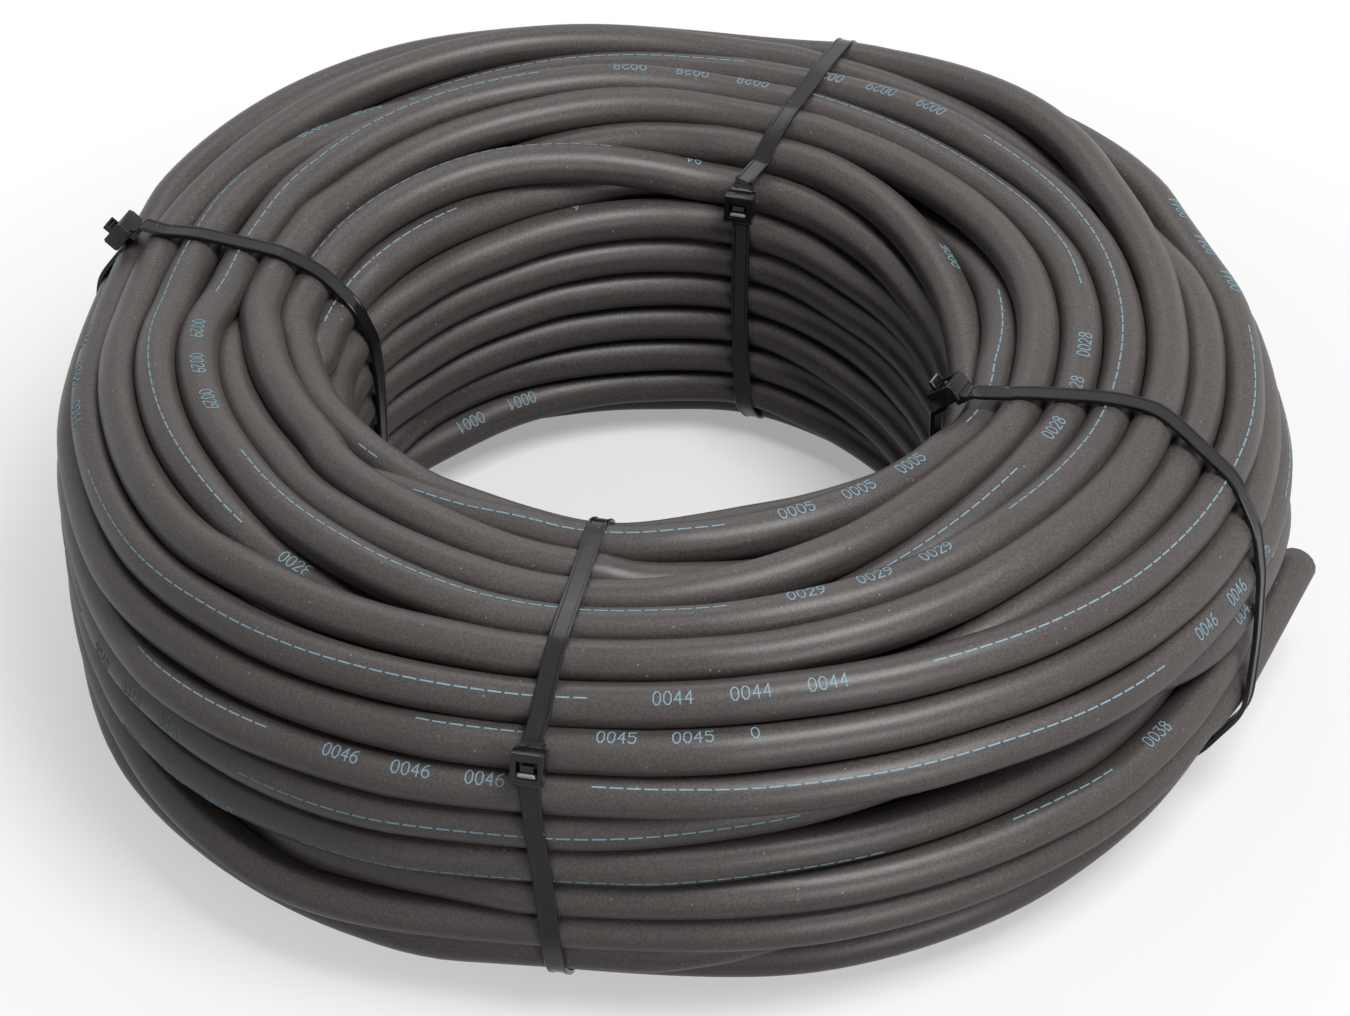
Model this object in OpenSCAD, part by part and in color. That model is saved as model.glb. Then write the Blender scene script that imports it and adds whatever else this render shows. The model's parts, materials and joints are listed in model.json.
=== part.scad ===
// Coil of round, rubber-sheathed three-core cable, held by four nylon cable ties.
// Millimetres, +Z up. The coil lies on z = 0 and its axis is vertical.

/* [Cable] */
// Diameter over the cable's sheath
cable_d = 11; // [10:0.1:11]
// Diameter of one insulated core
core_d = 3.2; // [2.8:0.1:3.3]
// Diameter of one stranded conductor
conductor_d = 1.6; // [1.4:0.1:1.8]
// Length of cable that stands off the coil at its cut end
free_end_l = 50; // [45:1:70]

/* [Coil] */
// Radius over the outside of the coil
coil_r = 161.3; // [160:0.5:170]
// Radius of the bore
bore_r = 78.7; // [70:0.1:79]
// Height of the coil
coil_h = 98.5; // [98:0.5:110]
// Shift of the bore towards -X, where the bundle is thinner
bore_shift = 7.9; // [0:0.1:7.9]
// Loops in the outer layer
loops = 23; // [18:1:23]
// Azimuth at which the cut end leaves the coil
exit_a = -24.7; // [-28:0.1:-22]
// Height of the cut end's centre line
exit_z = 30; // [28:0.5:34]

/* [Cable ties] */
// Width of a strap
strap_w = 4.8; // [4.4:0.1:5]
// Thickness of a strap
strap_t = 1.3; // [1.1:0.1:1.4]
// Width of a head, across the strap
head_w = 7.8; // [7:0.1:9]
// Length of a head, along the strap
head_l = 8.2; // [8:0.1:9]
// Height of a head over the turns
head_h = 6.2; // [6:0.1:7]
// Length that a trimmed tail stands out of its head
stub_l = 2.4; // [1:0.1:6]
// Travel of a pawl, away from the teeth, in degrees
pawl_travel = 9; // [6:1:9]

/* [Hidden] */
$fn = 48;

// Colours
sheath_colour = [0.20, 0.18, 0.17];
brown = [0.36, 0.20, 0.12];
blue = [0.12, 0.30, 0.62];
earth = [0.45, 0.62, 0.15];
copper = [0.80, 0.50, 0.32];
nylon = [0.05, 0.05, 0.055];

// One tie: azimuth, place of its head round the section, the way its root strap
// leaves (+1 up the outside and inwards, -1 back), and the tail's height past the head
FRONT = [258, 51, 1, 0];
LEFT = [161, 58, 1, stub_l];
BACK = [76, 137, -1, 0];
RIGHT = [-26.5, 131, -1, stub_l];
TIES = [FRONT, LEFT, BACK, RIGHT];

// The tube: six sides, twenty-four rings to a loop
sides = 6;
rings = 24;
step_a = 360 / rings;
tube_r = cable_d / 2;
flat_r = tube_r * cos(180 / sides);
chord = cos(step_a / 2);

// The turns rest on flats cut a tenth of the cable's diameter deep. The straps pass
// under lifted turns, so that their undersides are level with those flats.
cut = cable_d / 10;
lift = strap_t + cut;
layer = cable_d + 1;
seat = 0.15;
gap = 0.3;

// The winding's section: a rectangle of centre lines with four round corners, in the
// order outer top, inner top, inner bottom, outer bottom
path_r = coil_r - flat_r;
bore_path_r = bore_r + flat_r;
path_top = coil_h - flat_r;
path_foot = flat_r - cut;
corner_r = [28, 16, 16, 20];

function unit(t) = [cos(t), sin(t)];
function turn_apart(a, b) = let (t = (a - b) % 360) min(abs(t), 360 - abs(t));
function lifted(a) = max([for (tie = TIES) lift * min(1, max(0, 2 - turn_apart(a, tie[0]) / step_a))]);
function inner_r(a) = -bore_shift * cos(a) + sqrt(pow(bore_path_r, 2) - pow(bore_shift * sin(a), 2));
function centre(a, j) =
    [j % 3 == 0 ? path_r - corner_r[j] : inner_r(a) + corner_r[j],
     j < 2 ? path_top - corner_r[j] : path_foot + lifted(a) + corner_r[j]];
function run_start(a, j) = let (k = (j + 3) % 4) centre(a, k) + corner_r[k] * unit(90 * j);
function run_end(a, j) = centre(a, j) + corner_r[j] * unit(90 * j);
function run_l(a, j) = norm(run_end(a, j) - run_start(a, j));
function bend_l(j) = corner_r[j] * PI / 2;
function lap(a) = run_l(a, 0) + run_l(a, 1) + run_l(a, 2) + run_l(a, 3)
                  + bend_l(0) + bend_l(1) + bend_l(2) + bend_l(3);

// The place s round the section at azimuth a: its radius, its height and its normal's angle
function place(a, s, j = 0) =
    s < run_l(a, j)
        ? let (p = run_start(a, j) + s * unit(90 * j + 90)) [p[0], p[1], 90 * j]
    : s < run_l(a, j) + bend_l(j)
        ? let (n = 90 * j + (s - run_l(a, j)) / corner_r[j] * 180 / PI,
               p = centre(a, j) + corner_r[j] * unit(n)) [p[0], p[1], n]
    : place(a, s - run_l(a, j) - bend_l(j), (j + 1) % 4);

// The outer layer's centre line: one lap of the section in all its loops. It starts a
// layer deep, climbs in half a turn, and leaves in a straight line.
exit_s = exit_z - path_foot - corner_r[3] - lifted(exit_a);
tangent = [-sin(exit_a), cos(exit_a), 0];
function depth(t) = t < 0.5 ? layer * (1 + cos(360 * t)) / 2 : 0;
function spot(t) =
    let (a = exit_a + 360 * t,
         p = place(a, exit_s + lap(a) * t / loops),
         q = [p[0], p[1]] - depth(t) * unit(p[2])) [q[0], q[1], p[2]];
function ring_at(t, along = 0) =
    let (a = exit_a + 360 * t, p = spot(t))
    [for (i = [0:sides - 1])
        let (v = [p[0], p[1]] + tube_r * unit(p[2] + 180 / sides + 360 / sides * i))
        [v[0] * cos(a), v[0] * sin(a), max(0, v[1])] + along * tangent];
function mid(ring) = [for (k = [0:2]) (ring[0][k] + ring[3][k]) / 2];
coil_rings = concat([ring_at(0), ring_at(0, cable_d)],
                    [for (i = [1:loops * rings]) ring_at(i / rings)],
                    [ring_at(loops, cable_d)]);
mids = [for (ring = coil_rings) mid(ring)];
last = len(mids) - 1;
least_gap = min([for (i = [0:last]) for (j = [i + rings / 2:last]) norm(mids[i] - mids[j])]) - cable_d;
echo(least_gap = least_gap);  // outer_turns

// The cut end: its foot on the winding's last face, in the coil's own axes
exit_spot = spot(loops);
end_foot = [exit_spot[0] * cos(exit_a), exit_spot[0] * sin(exit_a), exit_spot[1]] + cable_d * tangent;
end_l = free_end_l - cable_d;
core_place_r = core_d / sqrt(3) + 0.1;

// The heads, in their own axes: x along the strap towards its root, y off the turns
window_x0 = -2.35;
window_x1 = 1.75;
window_w = strap_w + 0.4;
tail_x0 = -2.2;
tail_x1 = tail_x0 + strap_t;
bend_r = 0.8;
under_y = strap_t + 0.2;
tail_top = head_h - 0.2;
tooth_pitch = 1;
tooth_depth = 0.45;
tooth_w = 3.4;
hinge = [0.25, 2.1];
hinge_r = 0.5;
pawl_w = tooth_w - 0.3;
pawl_teeth = 3;
first_tooth_y = 3.15;

// The whole part's middle in plan, which the origin stands under. The cut end reaches
// furthest at +X and the front tie's head at -Y, and the turns on the other two sides.
cut_face = end_foot + end_l * tangent;
xs = [for (ring = coil_rings) for (p = ring) p[0]];
ys = [for (ring = coil_rings) for (p = ring) p[1]];
reach_x = cut_face[0] + tube_r * cos(exit_a);
front = [for (x = [-head_l / 2 + 0.5, head_l / 2 - 0.5]) head_point(FRONT, x, head_h)[0]];
reach_y = max(front) * sin(FRONT[0]) - head_w / 2 * abs(cos(FRONT[0]));
middle = [(min(xs) + reach_x) / 2, (min(min(ys), reach_y) + max(ys)) / 2, 0];

module placed() {
    translate(-middle) children();
}

// A core of the deeper turns, which nothing but the outer layer covers
core_top = path_top - flat_r + seat;
core_foot = path_foot + lift + flat_r - seat;
core_r = path_r * chord - flat_r + seat;
core_bore_r = bore_path_r + flat_r - seat;
ramp_r = path_r - layer / 2;

function arc(at, r, from, to) = [for (i = [0:8]) at + r * unit(from + (to - from) * i / 8)];

module inner_turns() {
    round = [for (r = corner_r) r - flat_r];
    over = 0.2;
    outer = concat([[0, core_foot]],
                   arc([core_r - round[3], core_foot + round[3]], round[3], 270, 360),
                   arc([core_r - round[0], core_top - round[0]], round[0], 0, 90),
                   [[0, core_top]]);
    bore = concat([[0, core_foot - over]],
                  arc([core_bore_r + round[2], core_foot + round[2] - over], round[2], 270, 180),
                  arc([core_bore_r + round[1], core_top - round[1] + over], round[1], 180, 90),
                  [[0, core_top + over]]);
    color(sheath_colour) placed() difference() {
        rotate_extrude($fn = 120) polygon(outer);
        translate([-bore_shift, 0, 0]) rotate_extrude($fn = 120) polygon(bore);
        // the floor that the outer layer climbs from, in half a turn
        rotate([0, 0, exit_a]) translate([-layer / 2, 0, exit_z - tube_r - gap])
            rotate_extrude(angle = 180, $fn = 120) translate([ramp_r * chord - flat_r - gap, 0])
                square([3 * layer, 2 * tube_r + lap(exit_a) / loops / 2 + 2 * gap]);
    }
}

module outer_turns() {
    count = len(coil_rings);
    points = [for (ring = coil_rings) for (p = ring) p];
    skin = [for (k = [0:count - 2]) for (i = [0:sides - 1])
        let (a = k * sides + i, b = k * sides + (i + 1) % sides)
        each [[a, a + sides, b], [b, a + sides, b + sides]]];
    start_cap = [for (i = [1:sides - 2]) [0, i, i + 1]];
    end_cap = [for (i = [1:sides - 2]) let (o = (count - 1) * sides) [o, o + i + 1, o + i]];
    color(sheath_colour) placed() polyhedron(points, concat(skin, start_cap, end_cap));
}

// Stands its children on the winding's last face, along the cut end
module on_end() {
    placed() translate(end_foot) rotate([-90, 0, exit_a]) children();
}

module at_core(i) {
    rotate([0, 0, 120 * i + 90]) translate([core_place_r, 0, 0]) children();
}

module end_sheath() {
    color(sheath_colour) on_end() difference() {
        cylinder(d = cable_d, h = end_l);
        for (i = [0:2]) at_core(i) translate([0, 0, -1]) cylinder(d = core_d, h = end_l + 2);
    }
}

module insulation(i, colour) {
    color(colour) on_end() at_core(i) difference() {
        cylinder(d = core_d, h = end_l);
        translate([0, 0, -1]) cylinder(d = conductor_d, h = end_l + 2);
    }
}

module conductor(i) {
    color(copper) on_end() at_core(i) cylinder(d = conductor_d, h = end_l);
}

// Ties. A tie's section plane is upright and holds the coil's axis.
function chord_at(a) = let (t = (a - exit_a) % step_a, u = t < 0 ? t + step_a : t)
    chord / cos(u - step_a / 2);
function skin_at(a, s, y) =
    let (p = place(a, s)) [p[0] * chord_at(a), p[1]] + (flat_r + y) * unit(p[2]);
function head_point(tie, x, y) =
    let (p = place(tie[0], tie[1]))
    [p[0] * chord_at(tie[0]), p[1]] + (flat_r + y) * unit(p[2]) + tie[2] * x * unit(p[2] + 90);

module in_section(tie) {
    placed() rotate([90, 0, tie[0]]) children();
}

module at_head(tie) {
    p = head_point(tie, 0, 0);
    in_section(tie) translate([p[0], p[1], 0]) rotate([0, 0, place(tie[0], tie[1])[2] - 90])
        mirror([tie[2] > 0 ? 1 : 0, 0, 0]) children();
}

module strap(tie) {
    root_x = 2;
    tail_x = -head_l / 2 - 0.6;
    whole = lap(tie[0]);
    count = 72;
    length = whole + tail_x - root_x;
    top = tail_top + tie[3];
    bend = [tail_x0 - bend_r, strap_t + bend_r];
    function wrap(s) = (s + 2 * whole) % whole;
    function round_coil(y) = [for (i = [0:count])
        skin_at(tie[0], wrap(tie[1] + tie[2] * (root_x + length * i / count)), y)];
    function bent(r) = [for (t = [-90:15:0]) let (q = bend + r * unit(t)) head_point(tie, q[0], q[1])];
    inside = concat(round_coil(0), bent(bend_r + strap_t), [head_point(tie, tail_x1, top)]);
    outside = concat(round_coil(strap_t), bent(bend_r), [head_point(tie, tail_x0, top)]);
    in_section(tie) linear_extrude(strap_w, center = true)
        polygon(concat(inside, [for (i = [len(outside) - 1:-1:0]) outside[i]]));
}

// The teeth of the tail and the pawl have one pitch. A tail's grooves run on past its head.
module grooves(top) {
    for (y = [first_tooth_y - 2 * tooth_pitch:tooth_pitch:top + tooth_pitch])
        translate([tail_x1, y, 0]) linear_extrude(tooth_w, center = true)
            polygon([[0.1, 0], [-tooth_depth, 0.08], [-tooth_depth, 0.32], [0.1, 0.92]]);
}

module head_block() {
    half = head_l / 2;
    difference() {
        union() {
            linear_extrude(head_w, center = true) polygon([
                [-half, under_y + 0.6], [-half + 0.6, under_y], [half, under_y],
                [half, head_h - 1.2], [half - 0.5, head_h], [-half + 0.5, head_h], [-half, head_h - 0.6]]);
            linear_extrude(strap_w + 1.6, center = true) polygon([
                [window_x1, 0], [half + 2.6, 0], [half + 2.6, strap_t], [half, head_h / 2], [window_x1, head_h / 2]]);
        }
        translate([window_x0, -1, -window_w / 2])
            cube([window_x1 - window_x0, head_h + 2, window_w]);
        // the mouth's rounded lip, where the tail bends in
        translate([window_x0 - 0.9, under_y - 1, -window_w / 2]) cube([1, 1.9, window_w]);
    }
    // the ledge that the pawl's root turns on
    difference() {
        translate([hinge[0] + 0.1, under_y - 1, -window_w / 2])
            cube([window_x1 - hinge[0], hinge[1] - under_y + 1, window_w]);
        translate([hinge[0], hinge[1], -window_w / 2 - 1]) cylinder(r = hinge_r + 0.1, h = window_w + 2);
    }
}

module tie(t) {
    color(nylon) {
        difference() {
            strap(t);
            at_head(t) grooves(tail_top + t[3]);
        }
        at_head(t) head_block();
    }
}

// A pawl: a wedge on a round root, with teeth that stand in the tail's grooves
module pawl(t) {
    root = hinge - [hinge_r, 0];
    back = window_x1 - 0.95;
    tip_x = tail_x1 + 0.15;
    bite = 0.38;
    teeth = [for (k = [0:pawl_teeth - 1]) let (y = first_tooth_y + k * tooth_pitch + 0.12)
        each [[tip_x, y - 0.08], [tip_x - bite, y + 0.02], [tip_x - bite, y + 0.1], [tip_x, y + 0.5]]];
    color(nylon) at_head(t) {
        translate([hinge[0], hinge[1], -pawl_w / 2]) cylinder(r = hinge_r, h = pawl_w);
        linear_extrude(pawl_w, center = true) polygon(concat(
            [root + [0.1, 0]], teeth,
            [[tip_x + 0.4, head_h - 0.4], [back, head_h - 0.6], [back, hinge[1] + 1.1],
             hinge + [hinge_r - 0.05, 0.15]]));
    }
}

echo(pawl_travel = pawl_travel, hinges = [for (t = TIES)
    let (p = head_point(t, hinge[0], hinge[1]))
    [p[0] * cos(t[0]), p[0] * sin(t[0]), p[1]] - middle]);
echo(cut_face = cut_face - middle, end_foot = end_foot - middle, middle = middle);

inner_turns();
outer_turns();
end_sheath();
insulation(0, brown);  // brown_core
insulation(1, blue);  // blue_core
insulation(2, earth);  // earth_core
conductor(0);  // brown_conductor
conductor(1);  // blue_conductor
conductor(2);  // earth_conductor
tie(FRONT);  // tie_front
tie(LEFT);  // tie_left
tie(BACK);  // tie_back
tie(RIGHT);  // tie_right
pawl(FRONT);  // tie_front_pawl
pawl(LEFT);  // tie_left_pawl
pawl(BACK);  // tie_back_pawl
pawl(RIGHT);  // tie_right_pawl
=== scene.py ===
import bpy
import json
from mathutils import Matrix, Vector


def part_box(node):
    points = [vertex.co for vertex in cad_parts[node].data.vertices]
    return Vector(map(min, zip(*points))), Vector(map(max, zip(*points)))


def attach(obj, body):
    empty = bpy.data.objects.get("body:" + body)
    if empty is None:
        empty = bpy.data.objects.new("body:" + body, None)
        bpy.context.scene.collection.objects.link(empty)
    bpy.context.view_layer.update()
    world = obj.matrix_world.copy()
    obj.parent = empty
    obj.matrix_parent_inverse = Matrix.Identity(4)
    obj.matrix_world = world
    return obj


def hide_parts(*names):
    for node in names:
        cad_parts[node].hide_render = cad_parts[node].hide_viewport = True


bl_info = {
    "name": "Tied Cable Coil",
    "version": (1, 0, 0),
    "blender": (4, 5, 0),
    "location": "View3D > Sidebar > Cable Coil",
    "description": "Winds a rubber-sheathed cable into a coil, ties it and prints its marking",
    "category": "Object",
}

import json
import math

import bmesh
import bpy
import numpy as np
from bpy.props import FloatProperty, FloatVectorProperty, IntProperty, PointerProperty
from mathutils import Matrix, Vector

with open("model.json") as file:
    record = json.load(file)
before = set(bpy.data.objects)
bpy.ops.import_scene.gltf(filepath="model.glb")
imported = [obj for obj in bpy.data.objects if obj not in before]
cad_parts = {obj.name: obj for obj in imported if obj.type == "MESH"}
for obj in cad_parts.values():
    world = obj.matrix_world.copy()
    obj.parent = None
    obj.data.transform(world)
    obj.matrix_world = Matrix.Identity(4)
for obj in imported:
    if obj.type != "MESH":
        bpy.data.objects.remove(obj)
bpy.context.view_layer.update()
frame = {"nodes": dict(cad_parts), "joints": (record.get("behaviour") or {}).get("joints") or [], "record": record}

MM = 0.001
BODY = "coil"
TIES = ("tie_front", "tie_left", "tie_back", "tie_right")
CORES = ("brown", "blue", "earth")
MOUNTS = {mount["name"]: mount for mount in frame["record"]["mounts"]}
HINGES = {joint["child"]: joint for joint in frame["joints"]}
RING_AXIS = sum(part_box("inner_turns"), Vector()) / 2
UP = np.array([0.0, 0.0, 1.0])
wound = {}


# ---------------------------------------------------------------- sizes and colours


class CableSettings(bpy.types.PropertyGroup):
    diameter: FloatProperty(
        name="Diameter", description="Diameter over the sheath",
        default=2 * MM * MOUNTS["cut_end"]["dims"]["r_mm"], unit="LENGTH")
    free_length: FloatProperty(
        name="Free end", description="Length that stands off the coil at the cut end",
        default=0.05, unit="LENGTH")
    core_diameter: FloatProperty(
        name="Core", description="Diameter of one insulated core", default=0.0032, unit="LENGTH")
    wire_diameter: FloatProperty(
        name="Wire", description="Diameter of one copper wire of a strand",
        default=0.0003, unit="LENGTH")
    sides: IntProperty(name="Sides", description="Sides of the tube", default=16, min=8)
    rubber: FloatVectorProperty(
        name="Rubber", description="Colour of the sheath", subtype="COLOR",
        default=(0.094, 0.0815, 0.0780))
    rubber_dark: FloatVectorProperty(
        name="Rubber, darker", description="Darker patches of the sheath", subtype="COLOR",
        default=(0.070, 0.0605, 0.0578))
    dust: FloatVectorProperty(
        name="Dust", description="Pale specks on the sheath", subtype="COLOR",
        default=(0.36, 0.33, 0.29))
    copper: FloatVectorProperty(
        name="Copper", description="Colour of the wires", subtype="COLOR",
        default=(0.72, 0.36, 0.20))
    brown: FloatVectorProperty(
        name="Brown", description="Colour of the brown core", subtype="COLOR",
        default=(0.15, 0.055, 0.025))
    blue: FloatVectorProperty(
        name="Blue", description="Colour of the blue core", subtype="COLOR",
        default=(0.03, 0.12, 0.42))
    earth: FloatVectorProperty(
        name="Earth", description="Main colour of the earth core", subtype="COLOR",
        default=(0.05, 0.22, 0.04))
    earth_stripe: FloatVectorProperty(
        name="Earth stripe", description="Second colour of the earth core", subtype="COLOR",
        default=(0.62, 0.55, 0.04))


class CoilSettings(bpy.types.PropertyGroup):
    turns: IntProperty(name="Turns", description="Turns of the cable", default=66, min=8)
    outer_radius: FloatProperty(
        name="Outer radius", description="Radius over the outer turns",
        default=0.1613, unit="LENGTH")
    bore_radius: FloatProperty(
        name="Bore radius", description="Radius of the open middle", default=0.0787, unit="LENGTH")
    bore_shift: FloatProperty(
        name="Bore shift", description="How far the bore lies towards -X",
        default=0.0079, unit="LENGTH")
    height: FloatProperty(
        name="Height", description="Height of the coil", default=0.0985, unit="LENGTH")
    bulge: FloatProperty(
        name="Bulge", description="How far the turns swell between two ties",
        default=0.0022, unit="LENGTH")
    seed: IntProperty(name="Seed", description="Which lay of the turns", default=4)
    slices: IntProperty(
        name="Slices", description="Points of each turn while it settles", default=96)
    passes: IntProperty(name="Passes", description="Passes of settling", default=900)


class PrintSettings(bpy.types.PropertyGroup):
    ink: FloatVectorProperty(
        name="Ink", description="Colour of the marking", subtype="COLOR",
        default=(0.25, 0.39, 0.47))
    dash: FloatProperty(
        name="Dash", description="Length of one dash", default=0.0032, unit="LENGTH")
    dash_gap: FloatProperty(
        name="Gap", description="Gap between two dashes", default=0.0008, unit="LENGTH")
    line_width: FloatProperty(
        name="Line width", description="Width of the dashed line", default=0.00038, unit="LENGTH")
    digit_height: FloatProperty(
        name="Digit height", description="Height of a metre mark's digits",
        default=0.0031, unit="LENGTH")


class TieSettings(bpy.types.PropertyGroup):
    strap_width: FloatProperty(
        name="Strap width", description="Width of a strap", default=0.0048, unit="LENGTH")
    strap_thickness: FloatProperty(
        name="Strap thickness", description="Thickness of a strap", default=0.0013, unit="LENGTH")
    nylon: FloatVectorProperty(
        name="Nylon", description="Colour of the ties", subtype="COLOR",
        default=(0.008, 0.0078, 0.0082))
    nylon_scuffed: FloatVectorProperty(
        name="Nylon, scuffed", description="Colour of rubbed and cut nylon", subtype="COLOR",
        default=(0.016, 0.0155, 0.016))


class StageSettings(bpy.types.PropertyGroup):
    elevation: FloatProperty(
        name="Elevation", description="Height of the camera over the horizon",
        default=math.radians(37.6), subtype="ANGLE")
    distance: FloatProperty(
        name="Distance", description="From the camera to what it looks at",
        default=1.1416, unit="LENGTH")
    lens: FloatProperty(
        name="Lens", description="Focal length in millimetres", default=108.9, unit="CAMERA")
    floor: FloatVectorProperty(
        name="Floor", description="Colour of the floor", subtype="COLOR",
        default=(0.86, 0.86, 0.86))


GROUPS = {
    "coil_cable": CableSettings,
    "coil_winding": CoilSettings,
    "coil_print": PrintSettings,
    "coil_ties": TieSettings,
    "coil_stage": StageSettings,
}


# ---------------------------------------------------------------- small helpers


def fade(x):
    """0 below 0 and 1 above 1, with a smooth step between."""
    x = np.clip(x, 0, 1)
    return x * x * (3 - 2 * x)


def unit(v):
    """Vectors at length one, along the last axis."""
    return v / np.linalg.norm(v, axis=-1, keepdims=True)


def turn_apart(a, b):
    """The angle between two azimuths, the short way round."""
    return np.abs((a - b + math.pi) % (2 * math.pi) - math.pi)


def in_frame(radius, height, azimuth):
    """Points given round the ring's axis, in the part's frame."""
    return np.stack([radius * np.cos(azimuth) + RING_AXIS.x,
                     radius * np.sin(azimuth) + RING_AXIS.y, height], -1)


def placed(name, data):
    """A new object in the scene."""
    obj = bpy.data.objects.new(name, data)
    bpy.context.scene.collection.objects.link(obj)
    return obj


def new_piece(name, mesh, material=None):
    """A piece on the coil's body, with its finish where the mesh has none yet."""
    piece = placed(name, mesh)
    if material:
        mesh.materials.append(material)
    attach(piece, BODY)
    return piece


def grid_mesh(name, points, closed=True, smooth=True):
    """A mesh of quads over points[ring, side], closed round each ring."""
    rings, sides = points.shape[:2]
    row = np.arange(rings - 1)[:, None] * sides
    col = np.arange(sides if closed else sides - 1)[None, :]
    nxt = (col + 1) % sides
    quads = np.stack([row + col, row + nxt, row + sides + nxt, row + sides + col], -1)
    quads = quads.reshape(-1, 4)
    mesh = bpy.data.meshes.new(name)
    mesh.vertices.add(rings * sides)
    mesh.vertices.foreach_set("co", points.reshape(-1).astype(np.float32))
    mesh.loops.add(quads.size)
    mesh.loops.foreach_set("vertex_index", quads.reshape(-1).astype(np.int32))
    mesh.polygons.add(len(quads))
    mesh.polygons.foreach_set("loop_start", np.arange(0, quads.size, 4, dtype=np.int32))
    mesh.update(calc_edges=True)
    if smooth:
        mesh.shade_smooth()
    return mesh


def cap_ends(mesh, sides):
    """Closes both ends of a tube."""
    bm = bmesh.new()
    bm.from_mesh(mesh)
    bm.verts.ensure_lookup_table()
    count = len(bm.verts)
    bm.faces.new(reversed([bm.verts[i] for i in range(sides)]))
    bm.faces.new([bm.verts[i] for i in range(count - sides, count)])
    bm.to_mesh(mesh)
    bm.free()


def mesh_of(bm, name):
    """A new mesh of what a bmesh holds; the bmesh is freed."""
    mesh = bpy.data.meshes.new(name)
    bm.to_mesh(mesh)
    bm.free()
    return mesh


def wall(bm, low, high):
    """Adds the faces between two closed rows of vertices."""
    for corners in zip(low, low[1:] + low[:1], high[1:] + high[:1], high):
        bm.faces.new(corners)


def prism(bm, outline, low, high, place):
    """Adds an outline of (x, y) points, extruded from z low to high, to a bmesh."""
    rows = [[bm.verts.new(place @ Vector((x, y, z))) for x, y in outline] for z in (low, high)]
    bm.faces.new(reversed(rows[0]))
    bm.faces.new(rows[1])
    wall(bm, *rows)


def finished(obj):
    """The mesh of an object with its modifiers applied; the object itself is removed."""
    bpy.context.view_layer.update()
    evaluated = obj.evaluated_get(bpy.context.evaluated_depsgraph_get())
    mesh = bpy.data.meshes.new_from_object(evaluated)
    bpy.data.objects.remove(obj)
    return mesh


# ---------------------------------------------------------------- materials


# Sockets of a Mix node that mixes colours
MIX_FACTOR, MIX_A, MIX_B, MIX_RESULT = 0, 6, 7, 2


class Nodes:
    """Short calls for building a node tree."""

    def __init__(self, tree):
        self.tree = tree

    def add(self, kind, **values):
        node = self.tree.nodes.new(kind)
        for key, value in values.items():
            setattr(node, key, value)
        return node

    def feed(self, socket, source):
        """Links another node's socket to this one, or sets its value."""
        if isinstance(source, bpy.types.NodeSocket):
            self.tree.links.new(source, socket)
        else:
            socket.default_value = source

    def put(self, node, **inputs):
        for key, source in inputs.items():
            self.feed(node.inputs[key.replace("_", " ")], source)
        return node

    def noise(self, vector, scale, detail=2.0, roughness=0.5):
        node = self.add("ShaderNodeTexNoise")
        return self.put(node, Vector=vector, Scale=scale, Detail=detail, Roughness=roughness)

    def span(self, value, low, high, to_low=0.0, to_high=1.0):
        """The value, carried from one range to another."""
        node = self.add("ShaderNodeMapRange")
        self.put(node, Value=value, From_Min=low, From_Max=high, To_Min=to_low, To_Max=to_high)
        return node.outputs["Result"]

    def math(self, operation, a, b=0.0):
        node = self.add("ShaderNodeMath", operation=operation)
        for socket, source in zip(node.inputs, (a, b)):
            self.feed(socket, source)
        return node.outputs[0]

    def mix(self, factor, a, b):
        node = self.add("ShaderNodeMix", data_type="RGBA")
        for key, source in ((MIX_FACTOR, factor), (MIX_A, a), (MIX_B, b)):
            self.feed(node.inputs[key], source)
        return node.outputs[MIX_RESULT]


def rgba(colour, share=1.0):
    """A colour, or a darker or paler share of it, as a node's socket takes it."""
    return (*(share * c for c in colour), 1.0)


def new_group(name, inputs, outputs):
    """A shader node group with named sockets: its Nodes, its input sockets and its output node."""
    tree = bpy.data.node_groups.new(name, "ShaderNodeTree")
    for label, kind, value in inputs:
        socket = tree.interface.new_socket(name=label, in_out="INPUT", socket_type=kind)
        if value is not None:
            socket.default_value = value
    for label, kind in outputs:
        tree.interface.new_socket(name=label, in_out="OUTPUT", socket_type=kind)
    nodes = Nodes(tree)
    entry = nodes.add("NodeGroupInput")
    leave = nodes.add("NodeGroupOutput")
    return nodes, {socket.name: socket for socket in entry.outputs}, leave


def grain_group():
    """Fine grain: a mask of fine noise, and a height for Bump that has coarser noise added."""
    nodes, given, leave = new_group(
        "Fine Grain",
        [("Vector", "NodeSocketVector", None), ("Scale", "NodeSocketFloat", 2200.0),
         ("Coarse Share", "NodeSocketFloat", 0.35)],
        [("Height", "NodeSocketFloat"), ("Mask", "NodeSocketFloat")])
    fine = nodes.noise(given["Vector"], given["Scale"], detail=3.0, roughness=0.6)
    coarse = nodes.noise(given["Vector"], nodes.math("MULTIPLY", given["Scale"], 0.22), detail=2.0)
    shaped = nodes.span(fine.outputs["Fac"], 0.3, 0.7)
    waves = nodes.math("MULTIPLY", coarse.outputs["Fac"], given["Coarse Share"])
    nodes.put(leave, Height=nodes.math("ADD", shaped, waves), Mask=shaped)
    return nodes.tree


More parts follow.
